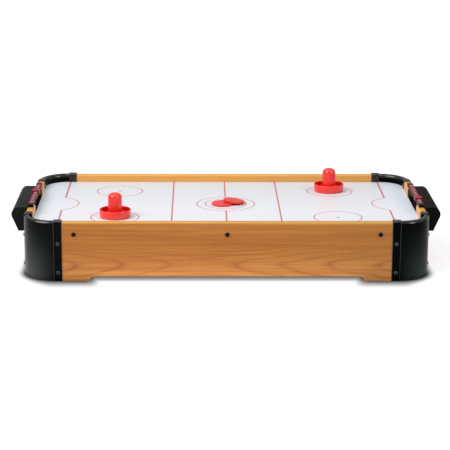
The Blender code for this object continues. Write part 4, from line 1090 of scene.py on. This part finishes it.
def striker_profile(radius, height):
    dish_edge = radius - RIM_WIDTH - KNOB_DRAFT
    rim_middle = radius - RIM_WIDTH / 2
    rim_centre = RIM_HEIGHT_ABOVE_BASE - RIM_WIDTH / 2
    knob_foot = KNOB_RADIUS + KNOB_DRAFT
    fillet_height = DISH_FLOOR + DISH_FILLET
    foot_radius = radius - STRIKER_DRAFT
    outside = [
        *dome(KNOB_RADIUS, height, KNOB_DOME, 18),
        (knob_foot, fillet_height),
        *arc((knob_foot + DISH_FILLET, fillet_height), DISH_FILLET, math.pi, 1.5 * math.pi, 8)[1:],
        *arc((dish_edge - DISH_FILLET, fillet_height), DISH_FILLET, 1.5 * math.pi, 2 * math.pi, 8),
        *arc((rim_middle, rim_centre), RIM_WIDTH / 2, math.pi, 0.0, 12),
        (foot_radius + 0.3 * MM, 2 * FOOT_ROUND),
        *arc((foot_radius - FOOT_ROUND, FOOT_ROUND), FOOT_ROUND, 0.15, -math.pi / 2, 8),
    ]
    foot_inside = foot_radius - FOOT_ROUND - FOOT_WIDTH
    bore = KNOB_RADIUS - STRIKER_WALL
    inside = [
        (foot_inside, 0.0),
        (foot_inside, DISH_FLOOR - STRIKER_WALL),
        (bore, DISH_FLOOR - STRIKER_WALL),
        *reversed(dome(bore, height - STRIKER_WALL, KNOB_DOME - STRIKER_WALL, 12)),
    ]
    return outside + inside


def make_strikers():
    for _, name in ENDS:
        low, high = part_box("pusher_" + name)
        radius = (high.x - low.x) / 2
        bm = turned(striker_profile(radius, high.z - low.z), STRIKER_STEPS)
        place = Vector(((low.x + high.x) / 2, (low.y + high.y) / 2, low.z))
        bmesh.ops.translate(bm, vec=place, verts=bm.verts)
        mesh = mesh_from(bm, "striker_" + name)
        body = name + "_pusher"
        obj = piece(mesh, [RED_PLASTIC, DISH_PAINTED_SHADE_PLASTIC], "pusher_" + name, body)
        # The dish faces get the darker red: painted shade inside the dish
        for face in mesh.polygons:
            from_base = face.center - place
            in_dish = KNOB_RADIUS + KNOB_DRAFT < from_base.xy.length < radius - RIM_WIDTH + 0.05 * MM
            face.material_index = 1 if in_dish and from_base.z > DISH_FLOOR - 0.5 * MM else 0
        smooth(obj, 40.0, False)


PUCK_RADIUS = 19.05 * MM
PUCK_THICKNESS = 3.6 * MM
PUCK_EASE = 0.55 * MM
PUCK_SPACING = 22.6 * MM
PUCK_LEAN_DIRECTION = math.radians(23)
PUCK_RIM_WIDTH = 2 * MM
PUCK_HOLLOW = 2 * MM


def puck_mesh(name):
    """A shallow cup on its rim, closed face up, with rounded edges and a fillet inside the rim."""
    half = PUCK_THICKNESS / 2
    rim_inside = PUCK_RADIUS - PUCK_RIM_WIDTH
    ceiling = PUCK_HOLLOW - half
    profile = [
        (0.0, half),
        *arc((PUCK_RADIUS - PUCK_EASE, half - PUCK_EASE), PUCK_EASE, math.pi / 2, 0.0, 6),
        *arc((PUCK_RADIUS - PUCK_EASE, PUCK_EASE - half), PUCK_EASE, 0.0, -math.pi / 2, 6),
        *arc((rim_inside + 0.3 * MM, 0.3 * MM - half), 0.3 * MM, -math.pi / 2, -math.pi, 3),
        *arc((rim_inside - 0.5 * MM, ceiling - 0.5 * MM), 0.5 * MM, 0.0, math.pi / 2, 4),
        (0.0, ceiling),
    ]
    return mesh_from(turned(profile, 96), name)


def make_pucks():
    mesh = puck_mesh("puck_lower")
    mesh.transform(Matrix.Translation(centre_of("puck_flat")))
    smooth(piece(mesh, [PUCK_PLASTIC], "puck_flat", "flat_puck"), 30.0)
    rim_inside = PUCK_RADIUS - PUCK_RIM_WIDTH
    crossing = (PUCK_SPACING**2 + PUCK_RADIUS**2 - rim_inside**2) / (2 * PUCK_SPACING)
    lean = math.asin((PUCK_THICKNESS + FIT_GAP) / (PUCK_SPACING + PUCK_RADIUS - crossing))
    across = Vector((-math.sin(PUCK_LEAN_DIRECTION), math.cos(PUCK_LEAN_DIRECTION), 0.0))
    mesh = puck_mesh("puck_upper")
    mesh.transform(Matrix.Translation(centre_of("puck_leaning")) @ Matrix.Rotation(lean, 4, across))
    smooth(piece(mesh, [PUCK_PLASTIC], "puck_leaning", "leaning_puck"), 30.0)


# CAD nodes that are shown as they are

def dress(nodes, material):
    """Gives CAD nodes their material."""
    for name in nodes:
        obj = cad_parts[name]
        obj.data.materials.clear()
        obj.data.materials.append(material)


# Stage, light and camera

FLOOR_HALF = 14.0
FLOOR_DROP = 0.2 * MM
FLOOR_GLOW = 0.72
SHADE_HALF = (345.8 * MM, 184.8 * MM)
SHADE_ROUND = CORNER_OUTER
SHADE_INSET = 34 * MM
SHADE_END_TIGHTNESS = 3.4
SHADE_ARCH_TIGHTNESS = 2.2
SHADE_ARCH_BLEND = 45 * MM
SHADE_REACH = (-8 * MM, 52 * MM)


def contact_shade(recipe):
    """0 where the feet stand to 1 in the open: a painted soft contact shadow that follows the base and its
    arches.
    """
    x, y, _ = recipe.position()
    past_x = recipe.math("MAXIMUM", abs(x) - (SHADE_HALF[0] - SHADE_ROUND), 0.0)
    past_y = recipe.math("MAXIMUM", abs(y) - (SHADE_HALF[1] - SHADE_ROUND), 0.0)
    length = recipe.math("SQRT", past_x * past_x + past_y * past_y)
    stretched = recipe.math("SQRT", past_x * past_x * SHADE_END_TIGHTNESS**2 + past_y * past_y)
    widening = recipe.math("MAXIMUM", stretched / recipe.math("MAXIMUM", length, 1e-6), 1.0)
    from_base = (length - SHADE_ROUND) * widening
    into_arch = (ARCH_HALF_LENGTH - abs(x)) * SHADE_ARCH_TIGHTNESS
    from_feet = recipe.math("SMOOTH_MAX", from_base, into_arch, SHADE_ARCH_BLEND)
    away = recipe.math("SMOOTH_MIN", from_base + SHADE_INSET, from_feet, SHADE_ARCH_BLEND / 4)
    shade = recipe.node("ShaderNodeMapRange", away, *SHADE_REACH, 0.0, 1.0, interpolation_type="SMOOTHSTEP")
    return shade.outputs[0]


def make_stage():
    floor = bpy.data.meshes.new("floor")
    bm = bmesh.new()
    bmesh.ops.create_grid(bm, x_segments=2, y_segments=2, size=FLOOR_HALF)
    bm.to_mesh(floor)
    bm.free()
    obj = placed("floor", floor)
    obj.location.z = -FLOOR_DROP
    recipe = Recipe("floor")
    paper = recipe.noise(recipe.object_point(), 3.0, 2.0)
    shade = contact_shade(recipe)
    # Painted shadow: the floor's colour and glow are darkened by the contact shade
    sheet = recipe.mix(recipe.spread(paper, 0.3, 0.7), (0.33, 0.34, 0.345), (0.35, 0.36, 0.365))
    recipe.set(
        Base_Color=recipe.mix(shade, (0.01, 0.01, 0.01), sheet),
        Roughness=0.9,
        Specular_IOR_Level=0.0,
        Emission_Color=recipe.mix(shade, (0.02, 0.02, 0.02), (1.0, 1.0, 1.0)),
        Emission_Strength=FLOOR_GLOW,
    )
    floor.materials.append(recipe.material)


# Each light's direction, strength and width in degrees
LIGHTS = {
    "key": ((-0.60, -0.29, 0.75), 2.10, 42),
    "fill": ((0.70, -0.45, 0.55), 0.65, 20),
    "top": ((-0.05, 0.55, 0.83), 0.35, 70),
    "strip": ((0.0, -0.23, 0.97), 0.42, 16),
}
SKY_LOW = 0.36
SKY_HIGH = 0.50
SKY_RISE = (0.25, 1.0)


def make_lights():
    """A studio sky, brightest overhead, and broad far lights: a key from the left, a fill from the right,
    one from above and behind, and a narrower strip overhead."""
    world = bpy.data.worlds.new("studio")
    bpy.context.scene.world = world
    world.use_nodes = True
    tree = world.node_tree
    background = tree.nodes["Background"]
    direction = tree.nodes.new("ShaderNodeTexCoord")
    split = tree.nodes.new("ShaderNodeSeparateXYZ")
    tree.links.new(direction.outputs["Generated"], split.inputs[0])
    rise = tree.nodes.new("ShaderNodeMapRange")
    rise.interpolation_type = "SMOOTHSTEP"
    tree.links.new(split.outputs[2], rise.inputs[0])
    for index, value in enumerate((*SKY_RISE, SKY_LOW, SKY_HIGH), start=1):
        rise.inputs[index].default_value = value
    tree.links.new(rise.outputs[0], background.inputs["Strength"])
    background.inputs["Color"].default_value = (1.0, 1.0, 1.0, 1.0)
    for name, (source, strength, width) in LIGHTS.items():
        data = bpy.data.lights.new(name, "SUN")
        data.energy = strength
        data.angle = math.radians(width)
        placed(name, data).rotation_euler = Vector(source).to_track_quat("Z", "Y").to_euler()


def make_camera():
    data = bpy.data.cameras.new("camera")
    data.lens = CAMERA_LENS
    data.sensor_width = SENSOR_WIDTH
    data.clip_end = 100.0
    camera = placed("camera", data)
    turn = (
        Matrix.Rotation(CAMERA_YAW, 4, "Z")
        @ Matrix.Rotation(math.pi / 2 - CAMERA_PITCH, 4, "X")
        @ Matrix.Rotation(CAMERA_ROLL, 4, "Z")
    )
    camera.matrix_world = Matrix.Translation(CAMERA_PLACE) @ turn
    bpy.context.scene.camera = camera


BLACK = (0.0010, 0.0014, 0.0015)
# Lit and shaded copies of one black plastic: painted light on the left corners, painted shade on the right
# ones
CORNER_PLASTIC = {
    "left": scuffed_plastic("corner_plastic_left_lit", (0.058, 0.061, 0.063), BLACK, 0.05),
    "right": scuffed_plastic("corner_plastic_right_shaded", (0.030, 0.037, 0.037), BLACK, 0.02),
}
CREST_PLASTIC = scuffed_plastic("corner_crest", (0.007, 0.008, 0.009), (0.0018, 0.0022, 0.0026), 0.62, 0.17)
# Painted highlight: a grey plastic for the collars' vertical edges
EDGE_HIGHLIGHT_PLASTIC = plastic(
    "corner_painted_edge_highlight", (0.030, 0.033, 0.036), (0.045, 0.046, 0.050), 0.35, 0.3, (0.5, 0.01)
)
BLACK_PLASTIC = plastic("black_plastic", BLACK, (0.004, 0.005, 0.005), 0.26, 0.10, (0.45, 0.012))
BOLT_BLACK = plastic("bolt_black", BLACK, (0.002, 0.002, 0.002), 0.17, 0.16, (0.4, 0.004))
# Lit and shaded copies of one pocket plastic: the right box carries painted shade
POCKET_PLASTIC = {
    "left": plastic(
        "pocket_left_lit", (0.0060, 0.0066, 0.0042), (0.011, 0.012, 0.008), 0.46, 0.08, (0.6, 0.02)
    ),
    "right": plastic(
        "pocket_right_shaded", (0.0045, 0.0045, 0.0032), (0.008, 0.008, 0.006), 0.52, 0.03, (0.6, 0.02)
    ),
}
GREY_PLASTIC = plastic("grey_plastic", (0.055, 0.055, 0.060), (0.075, 0.075, 0.080), 0.5, 0.4, (0.6, 0.02))
TRAY_PLASTIC = plastic("tray_plastic", (0.10, 0.10, 0.11), (0.13, 0.13, 0.14), 0.55, 0.4, (0.8, 0.03))
RED_PLASTIC = plastic("red_plastic", (0.94, 0.015, 0.006), (0.94, 0.020, 0.009), 0.26, 0.90, (1.2, 0.002))
# Painted shade: the strikers' dish is a darker copy of the red plastic
DISH_PAINTED_SHADE_PLASTIC = plastic("dish_painted_shade", (0.66, 0.003, 0.005), (0.70, 0.005, 0.007), 0.30, 0.4, (1.2, 0.002))
PUCK_PLASTIC = plastic(
    "puck_plastic", (0.84, 0.040, 0.028), (0.87, 0.050, 0.036), 0.38, 0.5, (0.8, 0.010), 6 * MM
)
MARKER_PLASTIC = plastic("marker_plastic", (0.30, 0.022, 0.035), (0.36, 0.035, 0.05), 0.34, 0.4, (0.8, 0.01))
SCALE_PLASTIC = plastic("scale_plastic", (0.20, 0.008, 0.026), (0.24, 0.016, 0.036), 0.36, 0.10, (0.8, 0.01))
DIGIT_INK = plastic("digit_ink", (0.70, 0.62, 0.64), (0.62, 0.54, 0.56), 0.5, 0.4, (0.5, 0.01))
BATTERY_WRAP = plastic("battery_wrap", (0.04, 0.15, 0.09), (0.06, 0.19, 0.12), 0.3, 0.5, (3.0, 0.01))
LEAD_RUBBER = plastic("lead_rubber", (0.015, 0.015, 0.015), (0.03, 0.03, 0.03), 0.6, 0.3, (0.5, 0.03))
FASTENER_STEEL = brushed_steel("fastener_steel", (0.12, 0.12, 0.125), 0.34)
STEEL = brushed_steel("steel", (0.55, 0.55, 0.56), 0.32)
CUT_EDGE = cut_board("cut_edge")
BATTEN = plain_wood("plain_wood")
BOARD_PRINT = printed_board("board_print")

make_camera()
make_side_panels()
make_end_panels()
make_corners()
make_board()
make_fasteners()
make_goal_boxes()
make_score_markers()
make_strikers()
make_pucks()
dress(["field_rail_front", "field_rail_back"], BATTEN)
dress(["air_chamber_tray"], TRAY_PLASTIC)
dress(["fan_housing", "fan_grille", "battery_box", "battery_lid"], GREY_PLASTIC)
dress(["fan_impeller", "switch_housing"], BLACK_PLASTIC)
dress(["fan_motor"], STEEL)
dress(["switch_rocker"], RED_PLASTIC)
dress(["battery_1", "battery_2", "battery_3", "battery_4"], BATTERY_WRAP)
dress(["battery_lead", "motor_lead"], LEAD_RUBBER)
make_stage()
make_lights()
bpy.context.scene.view_settings.view_transform = "Standard"
